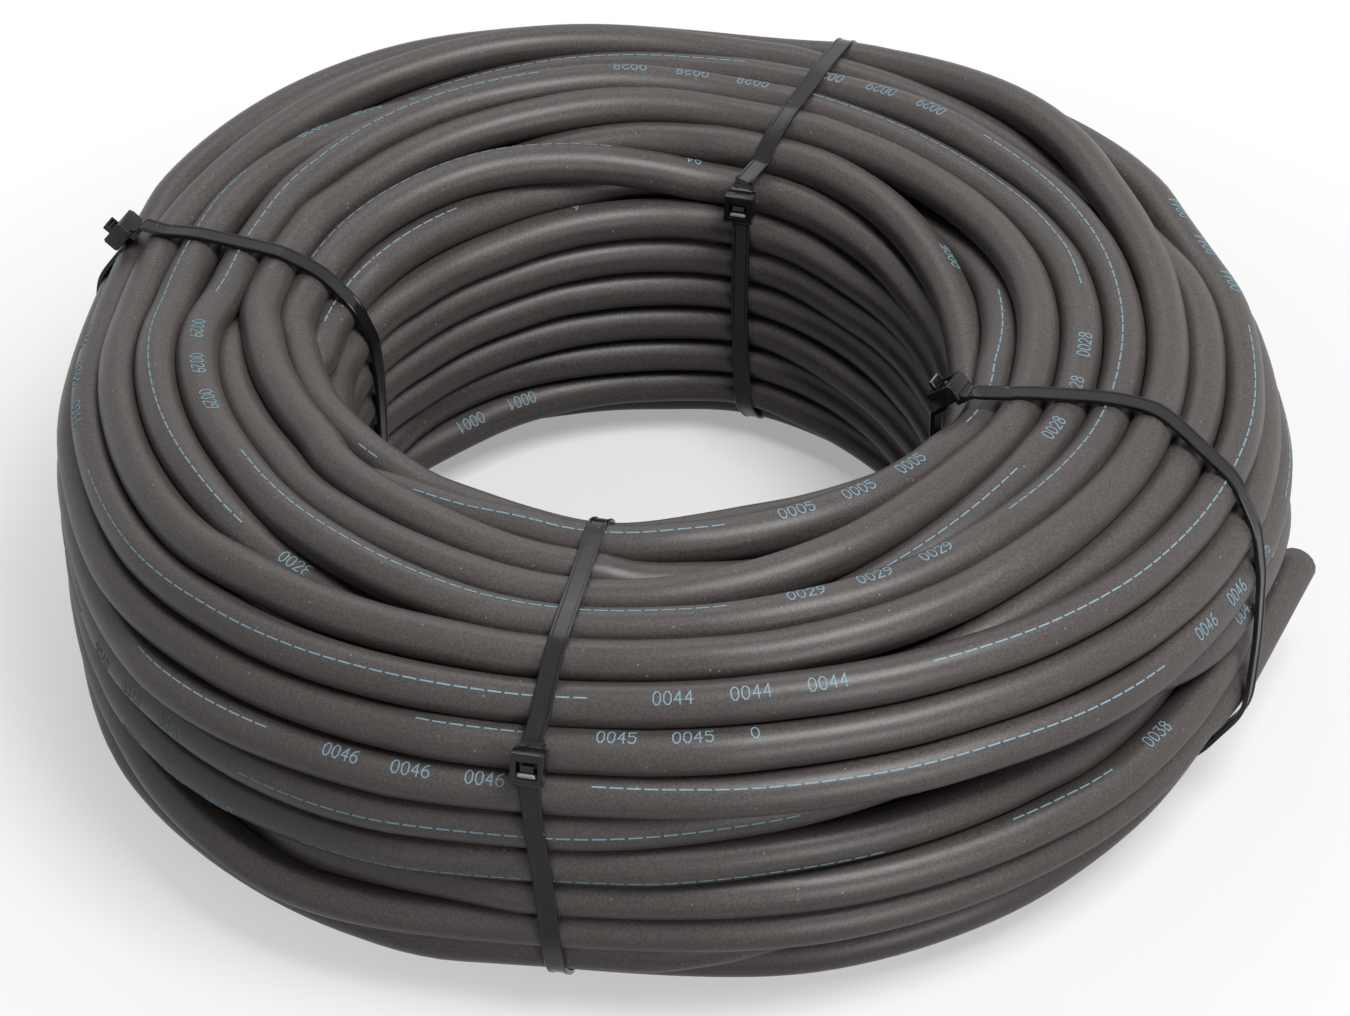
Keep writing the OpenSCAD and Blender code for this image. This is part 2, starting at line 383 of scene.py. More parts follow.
def patches_group():
    """Soft patches: a mask that drifts over the surface, for colour and roughness."""
    nodes, given, leave = new_group(
        "Soft Patches",
        [("Vector", "NodeSocketVector", None), ("Scale", "NodeSocketFloat", 30.0),
         ("Contrast", "NodeSocketFloat", 0.2)],
        [("Mask", "NodeSocketFloat")])
    noise = nodes.noise(given["Vector"], given["Scale"], detail=5.0, roughness=0.62)
    low = nodes.math("SUBTRACT", 0.5, given["Contrast"])
    high = nodes.math("ADD", 0.5, given["Contrast"])
    nodes.put(leave, Mask=nodes.span(noise.outputs["Fac"], low, high))
    return nodes.tree


def specks_group():
    """Dust: a mask of small scattered specks, of which only a share is kept."""
    nodes, given, leave = new_group(
        "Dust Specks",
        [("Vector", "NodeSocketVector", None), ("Scale", "NodeSocketFloat", 420.0),
         ("Share", "NodeSocketFloat", 0.06), ("Size", "NodeSocketFloat", 0.12)],
        [("Mask", "NodeSocketFloat")])
    cells = nodes.add("ShaderNodeTexVoronoi", voronoi_dimensions="3D")
    nodes.put(cells, Vector=given["Vector"], Scale=given["Scale"])
    pick = nodes.add("ShaderNodeSeparateColor")
    nodes.put(pick, Color=cells.outputs["Color"])
    kept = nodes.math("LESS_THAN", pick.outputs["Red"], given["Share"])
    near = nodes.math("LESS_THAN", cells.outputs["Distance"], given["Size"])
    nodes.put(leave, Mask=nodes.math("MULTIPLY", kept, near))
    return nodes.tree


def use_group(nodes, tree, **inputs):
    node = nodes.add("ShaderNodeGroup", node_tree=tree)
    return nodes.put(node, **inputs).outputs


def new_material(name):
    """A material with its Nodes, its Principled BSDF and its object coordinates."""
    material = bpy.data.materials.new(name)
    material.use_nodes = True
    nodes = Nodes(material.node_tree)
    bsdf = material.node_tree.nodes["Principled BSDF"]
    place = nodes.add("ShaderNodeTexCoord").outputs["Object"]
    return material, nodes, bsdf, place


def group(name):
    makers = {"Fine Grain": grain_group, "Soft Patches": patches_group, "Dust Specks": specks_group}
    return bpy.data.node_groups.get(name) or makers[name]()


def material_once(make):
    """Makes a material at its first use and hands the same one out after that."""
    made = []

    def found():
        if not made:
            made.append(make(make.__name__))
        return made[0]
    return found


def rough_bump(nodes, bsdf, height, strength, depth):
    """Roughens a finish by a height, at a strength and over a depth in metres."""
    bump = nodes.add("ShaderNodeBump")
    nodes.put(bump, Strength=strength, Distance=depth, Height=height)
    nodes.put(bsdf, Normal=bump.outputs["Normal"])


@material_once
def satin_rubber(name):
    cable = bpy.context.scene.coil_cable
    material, nodes, bsdf, place = new_material(name)
    grain = use_group(nodes, group("Fine Grain"), Vector=place, Scale=1750.0, Coarse_Share=0.5)
    patches = use_group(nodes, group("Soft Patches"), Vector=place, Scale=28.0, Contrast=0.16)
    dust = use_group(nodes, group("Dust Specks"), Vector=place, Scale=480.0, Share=0.09, Size=0.12)
    # fine lines drawn along the sheath where it left the die
    uv = nodes.add("ShaderNodeUVMap", uv_map="Along")
    stretch = nodes.add("ShaderNodeMapping")
    nodes.put(stretch, Vector=uv.outputs["UV"])
    stretch.inputs["Scale"].default_value = (3.0, 34.5, 1.0)
    drawn = nodes.noise(stretch.outputs["Vector"], 1.6, detail=3.0)
    base = nodes.mix(patches["Mask"], rgba(cable.rubber_dark), rgba(cable.rubber))
    lines = nodes.span(drawn.outputs["Fac"], 0.35, 0.7, 0.0, 0.35)
    base = nodes.mix(lines, base, rgba(cable.rubber, 1.25))
    pits = nodes.span(grain["Mask"], 0.25, 0.75, 0.0, 0.8)
    base = nodes.mix(pits, base, rgba(cable.rubber, 0.45))
    base = nodes.mix(nodes.math("MULTIPLY", dust["Mask"], 0.55), base, rgba(cable.dust))
    rough = nodes.span(patches["Mask"], 0.0, 1.0, 0.36, 0.44)
    rough = nodes.math("ADD", rough, nodes.math("MULTIPLY", dust["Mask"], 0.3))
    height = nodes.math("ADD", grain["Height"], nodes.math("MULTIPLY", drawn.outputs["Fac"], 0.8))
    nodes.put(bsdf, Base_Color=base, Roughness=rough)
    bsdf.inputs["Specular IOR Level"].default_value = 0.38
    rough_bump(nodes, bsdf, height, strength=0.5, depth=0.00002)
    return material


@material_once
def tie_nylon(name):
    ties = bpy.context.scene.coil_ties
    material, nodes, bsdf, place = new_material(name)
    grain = use_group(nodes, group("Fine Grain"), Vector=place, Scale=900.0, Coarse_Share=1.0)
    patches = use_group(nodes, group("Soft Patches"), Vector=place, Scale=120.0, Contrast=0.12)
    dust = use_group(nodes, group("Dust Specks"), Vector=place, Scale=500.0, Share=0.03, Size=0.14)
    scuffs = nodes.math("MULTIPLY", patches["Mask"], 0.5)
    base = nodes.mix(scuffs, rgba(ties.nylon), rgba(ties.nylon_scuffed))
    base = nodes.mix(nodes.math("MULTIPLY", dust["Mask"], 0.5), base, (0.3, 0.3, 0.3, 1))
    nodes.put(bsdf, Base_Color=base, Roughness=nodes.span(patches["Mask"], 0.0, 1.0, 0.11, 0.2))
    bsdf.inputs["Specular IOR Level"].default_value = 0.3
    rough_bump(nodes, bsdf, grain["Height"], strength=0.3, depth=0.00002)
    return material


@material_once
def cut_nylon(name):
    """The stressed, whitish face where a tail was cut off."""
    material, nodes, bsdf, place = new_material(name)
    grain = use_group(nodes, group("Fine Grain"), Vector=place, Scale=2600.0, Coarse_Share=1.5)
    base = nodes.mix(grain["Mask"], (0.10, 0.10, 0.10, 1), (0.42, 0.42, 0.41, 1))
    nodes.put(bsdf, Base_Color=base, Roughness=nodes.span(grain["Mask"], 0.0, 1.0, 0.45, 0.7))
    rough_bump(nodes, bsdf, grain["Height"], strength=0.6, depth=0.00005)
    return material


@material_once
def marking_ink(name):
    colours = bpy.context.scene.coil_print
    material, nodes, bsdf, place = new_material(name)
    grain = use_group(nodes, group("Fine Grain"), Vector=place, Scale=1800.0, Coarse_Share=0.6)
    patches = use_group(nodes, group("Soft Patches"), Vector=place, Scale=160.0, Contrast=0.3)
    thin = nodes.math("MULTIPLY", grain["Mask"], nodes.span(patches["Mask"], 0.0, 1.0, 0.25, 0.75))
    nodes.put(bsdf, Base_Color=nodes.mix(thin, rgba(colours.ink), rgba(colours.ink, 0.5)))
    nodes.put(bsdf, Roughness=nodes.span(grain["Mask"], 0.0, 1.0, 0.55, 0.75))
    rough_bump(nodes, bsdf, grain["Height"], strength=0.3, depth=0.00002)
    return material


def insulation(name, main, stripe=None, across=(0, 0, 1), middle=0.0):
    """Smooth core insulation; a second colour covers the side past the middle plane."""
    material, nodes, bsdf, place = new_material(name)
    patches = use_group(nodes, group("Soft Patches"), Vector=place, Scale=300.0, Contrast=0.25)
    grain = use_group(nodes, group("Fine Grain"), Vector=place, Scale=2400.0, Coarse_Share=0.5)
    base = rgba(main)
    if stripe is not None:
        side = nodes.add("ShaderNodeVectorMath", operation="DOT_PRODUCT")
        nodes.feed(side.inputs[0], place)
        nodes.feed(side.inputs[1], across)
        past = nodes.math("GREATER_THAN", side.outputs["Value"], middle)
        base = nodes.mix(past, base, rgba(stripe))
    worn = nodes.mix(nodes.math("MULTIPLY", patches["Mask"], 0.25), base, (0.02, 0.02, 0.02, 1))
    nodes.put(bsdf, Base_Color=worn, Roughness=nodes.span(patches["Mask"], 0.0, 1.0, 0.35, 0.5))
    rough_bump(nodes, bsdf, grain["Height"], strength=0.3, depth=0.00002)
    return material


@material_once
def bare_copper(name):
    cable = bpy.context.scene.coil_cable
    material, nodes, bsdf, place = new_material(name)
    patches = use_group(nodes, group("Soft Patches"), Vector=place, Scale=900.0, Contrast=0.2)
    grain = use_group(nodes, group("Fine Grain"), Vector=place, Scale=4000.0, Coarse_Share=0.5)
    dull = rgba(cable.copper, 0.6)
    nodes.put(bsdf, Base_Color=nodes.mix(patches["Mask"], rgba(cable.copper), dull))
    nodes.put(bsdf, Roughness=nodes.span(patches["Mask"], 0.0, 1.0, 0.22, 0.42))
    bsdf.inputs["Metallic"].default_value = 1.0
    rough_bump(nodes, bsdf, grain["Height"], strength=0.3, depth=0.00001)
    return material


# ---------------------------------------------------------------- the coil's turns

# The way that the cut end points, the middle of its face, and how far its edge is rounded
CUT_END = MOUNTS["cut_end"]
END_AXIS = np.array(CUT_END["axis"])
END_TIP = np.array(CUT_END["pos_m"]) + END_AXIS * MM * CUT_END["dims"]["length_mm"] / 2
END_RIM = 0.0003

# The space that the turns fill, in millimetres, at azimuths round the ring: how far the outer
# and the bore wall lie from their radii and the top from the height, then the radii of the
# corners at the outer top, the bore's top, the bore's foot and the outer foot
SPACE = (
    (0, -1.0, 1.5, 0, 34, 22, 18, 30),
    (22, -12.0, 0.0, 0, 34, 24, 18, 28),
    (48, 12.0, -1.0, 0, 28, 26, 19, 26),
    (77, 1.5, -1.0, -2, 34, 30, 18, 26),
    (105, 2.0, -2.5, -1, 32, 26, 18, 26),
    (132, 12.5, -5.5, 0, 28, 24, 18, 24),
    (150, 8.0, -4.5, -2, 28, 28, 18, 24),
    (163, 3.0, -2.0, -8, 30, 32, 18, 24),
    (184, -3.5, -1.0, -5, 34, 28, 18, 24),
    (206, -1.5, -1.0, -2, 38, 22, 18, 20),
    (230, 8.0, -1.5, 0, 42, 16, 18, 16),
    (258, 0.0, -2.0, 0, 34, 16, 18, 28),
    (292, 0.0, 0.0, 0, 34, 18, 18, 29),
    (320, -0.5, 1.0, 0, 36, 20, 18, 34),
    (338, -0.5, 1.0, 0, 38, 24, 18, 34),
)

# The degrees to either side over which that space is averaged
SPACE_BLUR = np.linspace(-13, 13, 9)

# The way outwards, in radius and height, at each of those four corners
SIDES = ((1, 1), (-1, 1), (-1, -1), (1, -1))

# How far a tie draws the turns in, how high its strap lifts them off the floor, and how far
# round the ring it does so
DRAWN_IN = 0.0006
TIE_LIFT = 0.0014
TIE_REACH = math.radians(28)

# Where, how far and over what reach the section turns on itself
TWIST_AT = math.radians(-22)
TWIST = math.radians(18)
TWIST_REACH = math.radians(62)

# The turns as first thrown on: how much longer a column is than its height in diameters, the
# share of it in which the cable steps to the next one, for how many turns and how many
# diameters deep the first turn stays buried, and which part of the last turn leads out
COLUMN_SPARE = 0.4
COLUMN_STEP = 0.15
BURIED_TURNS = 1.3
BURIED_DEPTH = 3.6
LEAD_OUT = 6

# How the cable wanders off its column: turns between two knots, and the reach in metres
WANDER = ((1.2, 0.006), (0.5, 0.002))

# How the turns settle. Pairs of turns nearer than PAIR_REACH diameters are looked up every
# PAIRS_EVERY passes and pushed KEEP_APART diameters apart, and those beside the free end, which
# is straight over END_REACH, are kept KEEP_OFF_END from it. In the last quarter of the passes
# the smoothing eases off and the pushes double.
STIFF_STEPS = 15.0
PAIRS_EVERY = 12
PAIR_REACH = 1.7
KEEP_APART = 1.006
KEEP_OFF_END = 1.01
END_REACH = math.radians(24)
PUSH_SHARE = 0.3
END_PUSH_SHARE = 0.8
LAST_QUARTER = 0.75
SMOOTHING = (0.8, 0.3)
PUSHES = (2, 4)

# The bend over six steps, in metres, past which a turn is straightened whatever lies beside it,
# how that spreads along it, and the most that a pass smooths
SHARP_BEND = 0.003
SHARP_SPREAD = np.ones(7) / 4
MOST_SMOOTHING = 0.9

# Points on the cable's path for each settled step, and along its free end
FINER = 2
FREE_STEPS = 10

# The marking's line: where it lies on average, how far it drifts round the cable, over how
# many turns it does so, and the seed of that
MARK_SIDE = math.radians(55)
MARK_DRIFT = math.radians(60)
DRIFT_TURNS = 1.3
DRIFT_SEED = 7


def tie_azimuth(name):
    x, y, _ = HINGES[name + "_pawl"]["pos_m"]
    return math.atan2(y - RING_AXIS.y, x - RING_AXIS.x)


def exit_place():
    """Where the free end starts: its azimuth, radius and height round the ring's axis."""
    start = END_TIP - END_AXIS * bpy.context.scene.coil_cable.free_length
    x, y = start[0] - RING_AXIS.x, start[1] - RING_AXIS.y
    return math.atan2(y, x), math.hypot(x, y), start[2]


def room_at(azimuth):
    """Bore and outer radius, foot, top and corner radii of the space that the turns may fill."""
    coil = bpy.context.scene.coil_winding
    table = np.array(SPACE, float)
    x = np.concatenate([table[:, 0] - 360, table[:, 0], table[:, 0] + 360])
    around = np.degrees(azimuth)[None] % 360 + SPACE_BLUR[:, None]
    outer, inner, top, *corners = [
        MM * np.interp(around, x, np.tile(column, 3)).mean(axis=0) for column in table.T[1:]]
    near = fade(1 - np.min([turn_apart(azimuth, tie_azimuth(t)) for t in TIES], axis=0) / TIE_REACH)
    shift = coil.bore_shift
    bore = np.sqrt(coil.bore_radius ** 2 - (shift * np.sin(azimuth)) ** 2) - shift * np.cos(azimuth)
    swell = coil.bulge * (1 - near) - DRAWN_IN * near
    return (bore + inner - swell, coil.outer_radius + outer + swell, TIE_LIFT * near,
            coil.height + top + swell, *corners)


def keep_inside(place, room, margin):
    """Moves each (radius, height) back into the round-cornered room."""
    inner, outer, foot, top, *corners = room
    low_r, high_r = inner + margin, outer - margin
    low_z, high_z = foot + margin, top - margin
    r = np.clip(place[:, 0], low_r, high_r)
    z = np.clip(place[:, 1], low_z, high_z)
    for (side_r, side_z), corner in zip(SIDES, corners):
        corner = corner - margin
        centre_r = high_r - corner if side_r > 0 else low_r + corner
        centre_z = high_z - corner if side_z > 0 else low_z + corner
        dr, dz = (r - centre_r) * side_r, (z - centre_z) * side_z
        apart = np.hypot(dr, dz)
        out = (dr > 0) & (dz > 0) & (apart > corner)
        pull = np.where(out, corner / np.maximum(apart, 1e-9), 1.0)
        r = np.where(out, centre_r + side_r * dr * pull, r)
        z = np.where(out, centre_z + side_z * dz * pull, z)
    return np.stack([r, z], 1)


def first_lay(turns, slices, end):
    """The turns as they were thrown on: columns that climb and fall, each wandering a little."""
    coil, d = bpy.context.scene.coil_winding, bpy.context.scene.coil_cable.diameter
    rng = np.random.default_rng(coil.seed)
    along = np.arange(turns * slices) / slices
    per_column = (coil.height - d) / d + COLUMN_SPARE
    phase = (turns - along) / per_column + (end[1] - d / 2) / (coil.height - d)
    z = d / 2 + (coil.height - d) * (1 - np.abs(phase % 2 - 1))
    column = np.floor(phase) + fade(((phase % 1) - (1 - COLUMN_STEP)) / COLUMN_STEP)
    width = coil.outer_radius - coil.bore_radius - d
    r = coil.outer_radius - d / 2 - column * width / (phase.max() - 1)
    # the first turn is buried under the bore's turns
    buried = fade(BURIED_TURNS - along)
    r += buried * (coil.bore_radius + BURIED_DEPTH * d - r)
    z += buried * (coil.height / 2 - z)

    def wander(length, reach):
        knots = rng.normal(0, reach, (int(turns / length) + 3, 2))
        x = along / length
        k = x.astype(int)
        share = fade(x - k)[:, None]
        return knots[k] * (1 - share) + knots[k + 1] * share

    place = np.stack([r, z], 1)
    for length, reach in WANDER:
        place = place + wander(length, reach)
    # past the front the whole section turns, so that its outer turns climb
    at = (exit_place()[0] + 2 * math.pi * along - TWIST_AT + math.pi) % (2 * math.pi) - math.pi
    turn = TWIST * fade(1 - np.abs(at) / TWIST_REACH)
    middle = np.array([(coil.outer_radius + coil.bore_radius) / 2, coil.height / 2])
    away = place - middle
    place = middle + np.stack([away[:, 0] * np.cos(turn) - away[:, 1] * np.sin(turn),
                               away[:, 0] * np.sin(turn) + away[:, 1] * np.cos(turn)], 1)
    last = slices // LEAD_OUT
    share = fade(np.linspace(0, 1, last))[:, None]
    place[-last:] = place[-last:] * (1 - share) + end * share
    return place


def along_filter(count, wave, pad=256):
    """A function that smooths a row of places along the cable, as its stiffness does."""
    gain = (1 / (1 + (np.fft.rfftfreq(count + 2 * pad) * wave) ** 4))[:, None]

    def smooth(place):
        before = 2 * place[:1] - place[1:pad + 1][::-1]
        after = 2 * place[-1:] - place[-pad - 1:-1][::-1]
        row = np.concatenate([before, place, after])
        ramp = row[:1] + (row[-1:] - row[:1]) * np.linspace(0, 1, len(row))[:, None]
        row = np.fft.irfft(np.fft.rfft(row - ramp, axis=0) * gain, len(row), axis=0) + ramp
        return row[pad:-pad]

    return smooth


def settle_turns():
    """Lets the turns settle: each stays smooth, keeps a diameter from the rest and stays inside."""
    coil, d = bpy.context.scene.coil_winding, bpy.context.scene.coil_cable.diameter
    turns, slices = coil.turns, coil.slices
    count = turns * slices
    exit_azimuth, exit_radius, exit_height = exit_place()
    azimuth = exit_azimuth + 2 * math.pi * np.arange(slices) / slices
    end = np.array([exit_radius, exit_height])
    place = first_lay(turns, slices, end)
    room = [np.tile(side, turns) for side in room_at(azimuth)]
    smooth = along_filter(count, STIFF_STEPS)
    # the straight free end, as the turns beside it see it
    past_exit = (azimuth - exit_azimuth) % (2 * math.pi)
    beside = np.nonzero(past_exit < END_REACH)[0]
    straight = np.stack([end[0] / np.cos(past_exit[beside]), np.full(len(beside), end[1])], 1)
    later, earlier = np.tril_indices(turns, -1)
    for step in range(coil.passes):
        late = int(step / coil.passes >= LAST_QUARTER)
        if step % PAIRS_EVERY == 0:
            grid = place.reshape(turns, slices, 2)
            gap = grid[later] - grid[earlier]
            pair, at = np.nonzero((gap ** 2).sum(-1) < (PAIR_REACH * d) ** 2)
            one, other = later[pair] * slices + at, earlier[pair] * slices + at
        # sharp bends straighten at once, whatever lies beside them
        bend = np.zeros(count)
        bend[3:-3] = np.linalg.norm(place[6:] - 2 * place[3:-3] + place[:-6], axis=1)
        sharp = np.convolve(np.clip(bend / SHARP_BEND - 1, 0, 1), SHARP_SPREAD, "same")
        ease = np.clip(np.maximum(SMOOTHING[late], sharp), 0, MOST_SMOOTHING)
        place = place + (smooth(place) - place) * ease[:, None]
        place[-1] = end
        for _ in range(PUSHES[late]):
            gap = place[one] - place[other]
            apart = np.sqrt((gap * gap).sum(1)) + 1e-9
            push = gap * (np.maximum(KEEP_APART * d - apart, 0) / apart * PUSH_SHARE)[:, None]
            for k in (0, 1):
                place[:, k] += (np.bincount(one, push[:, k], count)
                                - np.bincount(other, push[:, k], count))
            grid = place.reshape(turns, slices, 2)
            gap = grid[:, beside] - straight[None]
            apart = np.sqrt((gap ** 2).sum(-1)) + 1e-9
            short = np.maximum(KEEP_OFF_END * d - apart, 0)
            short[-1, 0] = 0
            grid[:, beside] += (short / apart)[..., None] * gap * END_PUSH_SHARE
            place = keep_inside(place, room, d / 2)
    place[-1] = end
    return place, np.tile(azimuth, turns)


def finer(points):
    """Twice as many points, on a smooth curve through the given ones."""
    padded = np.concatenate([2 * points[:1] - points[1:2], points, 2 * points[-1:] - points[-2:-1]])
    between = (9 * (padded[1:-2] + padded[2:-1]) - padded[:-3] - padded[3:]) / 16
    out = np.empty((2 * len(points) - 1, points.shape[1]))
    out[::2] = points
    out[1::2] = between
    return out


def ways_along(path):
    """At each point of a path: the way along it, the way to its side and the way off it."""
    ahead = unit(np.gradient(path, axis=0))
    side = unit(np.cross(ahead, UP))
    return ahead, side, np.cross(side, ahead)


def drift(count, per_turn, seed):
    """The slow turn of the marking round the cable, in radians at each point."""
    rng = np.random.default_rng(seed)
    knots = rng.normal(0, 1.0, count // per_turn + 3)
    x = np.arange(count) / per_turn
    k = x.astype(int)
    share = fade(x - k)
    return MARK_SIDE + MARK_DRIFT * (knots[k] * (1 - share) + knots[k + 1] * share)


class COIL_OT_turns(bpy.types.Operator):
    """Winds the cable into its coil, with the free end standing off it"""

    bl_idname = "coil.turns"
    bl_label = "Turns"

    def execute(self, context):
        cable, coil = context.scene.coil_cable, context.scene.coil_winding
        place, azimuth = settle_turns()
        wound["place"] = place
        path = finer(in_frame(place[:, 0], place[:, 1], azimuth))
        start = END_TIP - END_AXIS * cable.free_length
        free = [start + END_AXIS * s
                for s in np.linspace(0, cable.free_length, FREE_STEPS + 1)[1:-1]]
        path = np.concatenate([path[:-1], [start], free, [END_TIP - END_AXIS * END_RIM, END_TIP]])
        radius = np.full(len(path), cable.diameter / 2)
        radius[-1] -= END_RIM
        _, side, off = ways_along(path)
        turn = drift(len(path), int(DRIFT_TURNS * FINER * coil.slices), coil.seed + DRIFT_SEED)
        round_ = 2 * np.pi * np.arange(cable.sides) / cable.sides
        angle = turn[:, None] + round_[None]
        rings = path[:, None] + radius[:, None, None] * (
            np.cos(angle)[..., None] * side[:, None] + np.sin(angle)[..., None] * off[:, None])
        mesh = grid_mesh("turns", rings)
        steps = np.linalg.norm(np.diff(path, axis=0), axis=1)
        reach = np.concatenate([[0], np.cumsum(steps)])
        wound.update(path=path, side=side, off=off, turn=turn, reach=reach)
        self.lay_uv(mesh, reach, cable.sides)
        turns = new_piece("turns", mesh, satin_rubber())
        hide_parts("inner_turns", "outer_turns", "end_sheath")
        return {"FINISHED"}

    def lay_uv(self, mesh, reach, sides):
        """U runs along the cable in metres, V once round it."""
        layer = mesh.uv_layers.new(name="Along")
        ring = np.repeat(np.arange(len(reach) - 1), sides)
        side = np.tile(np.arange(sides), len(reach) - 1)
        u = np.stack([reach[ring], reach[ring], reach[ring + 1], reach[ring + 1]], 1)
        v = np.stack([side, side + 1, side + 1, side], 1) / sides
        layer.uv.foreach_set("vector", np.stack([u, v], -1).reshape(-1).astype(np.float32))


# ---------------------------------------------------------------- the cut end

# How much wider than its core a hole in the cut face is, how deep it goes, and the sides of the
# face and of its holes
CORE_CLEARANCE = 0.00012
HOLE_DEPTH = 0.0015
FACE_SIDES = 48
HOLE_SIDES = 24

# The wires of a strand, as (ring, wires in it), how far apart they lie in their own diameters,
# their length, the length over which they twist once, and how far they stand out or in
STRAND = ((0, 1), (1, 6), (2, 12))
WIRE_PITCH = 1.03
WIRE_LENGTH = 0.039
WIRE_LAY = 0.02
WIRE_STANDS = (-0.0001, 0.0004)
WIRE_RINGS = 14
WIRE_SIDES = 8


def end_matrix():
    """Axes of the cut face: z out along the cable, y up."""
    z = Vector(END_AXIS)
    x = Vector(UP).cross(z).normalized()
    y = z.cross(x)
    matrix = Matrix((x, y, z)).transposed().to_4x4()
    matrix.translation = Vector(END_TIP)
    return matrix


def core_centre(core):
    """Middle of a core in the cut face's axes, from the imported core."""
    low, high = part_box(f"{core}_core")
    middle = (low + high) / 2
    local = end_matrix().inverted() @ middle
    return local.x, local.y


def circle(x, y, radius, count):
    """Corners of a regular polygon."""
    return [(x + radius * math.cos(2 * math.pi * i / count),
             y + radius * math.sin(2 * math.pi * i / count)) for i in range(count)]


class COIL_OT_cut_end(bpy.types.Operator):
    """Makes the cut face of the sheath and the bunched copper wires in its three cores"""

    bl_idname = "coil.cut_end"
    bl_label = "Cut end"

    def execute(self, context):
        self.cut_face(context.scene.coil_cable)
        for core in CORES:
            self.wires(core, context.scene.coil_cable)
        self.paint_cores(context.scene.coil_cable)
        return {"FINISHED"}

    def cut_face(self, cable):
        bm = bmesh.new()
        place = end_matrix()

        def loop(points, z):
            verts = [bm.verts.new(place @ Vector((x, y, z))) for x, y in points]
            return verts, [bm.edges.new((a, b)) for a, b in zip(verts, verts[1:] + verts[:1])]

        edges = loop(circle(0, 0, cable.diameter / 2 - END_RIM, FACE_SIDES), 0)[1]
        for core in CORES:
            hole = (cable.core_diameter + CORE_CLEARANCE) / 2
            points = circle(*core_centre(core), hole, HOLE_SIDES)
            mouth, mouth_edges = loop(points, 0)
            floor, _ = loop(points, -HOLE_DEPTH)
            edges += mouth_edges
            wall(bm, floor, mouth)
            bm.faces.new(reversed(floor))
        bmesh.ops.triangle_fill(bm, use_beauty=True, edges=edges)
        bmesh.ops.recalc_face_normals(bm, faces=bm.faces)
        new_piece("cut_face", mesh_of(bm, "cut_face"), satin_rubber())

    def wires(self, core, cable):
        """Nineteen wires, laid in a slow twist and cut a little unevenly."""
        rng = np.random.default_rng(len(core))
        x0, y0 = core_centre(core)
        bm = bmesh.new()
        place = end_matrix()
        for ring, count in STRAND:
            away = ring * WIRE_PITCH * cable.wire_diameter
            for i in range(count):
                rows = []
                for z in np.linspace(-WIRE_LENGTH, rng.uniform(*WIRE_STANDS), WIRE_RINGS):
                    a = 2 * math.pi * (i / count + z / WIRE_LAY)
                    x, y = x0 + away * math.cos(a), y0 + away * math.sin(a)
                    rows.append([bm.verts.new(place @ Vector((px, py, z)))
                                 for px, py in circle(x, y, cable.wire_diameter / 2, WIRE_SIDES)])
                for low, high in zip(rows, rows[1:]):
                    wall(bm, low, high)
                bm.faces.new(reversed(rows[0]))
                bm.faces.new(rows[-1])
        name = f"{core}_wires"
        piece = new_piece(name, mesh_of(bm, name), bare_copper())
        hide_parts(f"{core}_conductor")

    def paint_cores(self, cable):
        middle = end_matrix() @ Vector((*core_centre("earth"), 0))
        paint("brown_core", insulation("brown_insulation", cable.brown))
        paint("blue_core", insulation("blue_insulation", cable.blue))
        paint("earth_core", insulation("earth_insulation", cable.earth, cable.earth_stripe,
                                       tuple(UP), middle.dot(Vector(UP))))


def paint(node, material):
    """Gives a CAD node a finished material."""
    mesh = frame["nodes"][node].data
    mesh.materials.clear()
    mesh.materials.append(material)


# ---------------------------------------------------------------- the marking

# Digits as lines on a grid two wide and four high
DIGITS = {
    "0": [(0, 1), (0, 3), (0.6, 4), (1.4, 4), (2, 3), (2, 1), (1.4, 0), (0.6, 0), (0, 1)],
    "1": [(0.4, 3), (1.2, 4), (1.2, 0)],
    "2": [(0, 3.2), (0.6, 4), (1.4, 4), (2, 3.2), (2, 2.5), (0, 0), (2, 0)],
    "3": [(0, 4), (2, 4), (1, 2.4), (1.5, 2.4), (2, 1.6), (2, 0.8), (1.4, 0), (0.5, 0), (0, 0.6)],
    "4": [(1.5, 0), (1.5, 4), (0, 1.3), (2, 1.3)],
    "5": [(2, 4), (0.1, 4), (0, 2.3), (1.3, 2.5), (2, 1.8), (2, 0.8), (1.4, 0), (0.5, 0), (0, 0.5)],
    "6": [(1.8, 4), (0.7, 3.4), (0, 2), (0, 0.8), (0.6, 0), (1.4, 0), (2, 0.7), (2, 1.6),
          (1.4, 2.3), (0, 1.9)],
    "7": [(0, 4), (2, 4), (0.8, 0)],
    "8": [(0.6, 2.2), (0, 3), (0.4, 4), (1.6, 4), (2, 3), (1.4, 2.2), (0.6, 2.2), (0, 1.2),
          (0.4, 0), (1.6, 0), (2, 1.2), (1.4, 2.2)],
    "9": [(0.2, 0), (1.3, 0.6), (2, 2), (2, 3.3), (1.4, 4), (0.6, 4), (0, 3.3), (0, 2.4),
          (0.6, 1.8), (2, 2.2)],
}

# Digits as shares of their height: from one to the next, and one step of their grid across;
# and their lines as a share of the dashed line's width
DIGIT_PITCH = 0.78
DIGIT_STEP = 0.26
DIGIT_LINE = 0.8

# The layout along the cable, in metres: where the marking starts, the length left bare at the
# far end and after its last dash, the least and the longest dashed stretch, the gaps before and
# after its metre marks, how far apart these start, and how many there are
MARKING_START = 0.03
MARKING_BARE = 0.02
LAST_DASH = 0.004
DASHED = (0.11, 0.19)
MARK_BEFORE = 0.016
MARK_AFTER = 0.012
MARK_PITCH = 0.0175
MARKS = 3
MARKING_SEED = 11

# How far the ink's bars reach into the sheath and off it
INK_REACH = (-0.0003, 0.00004)

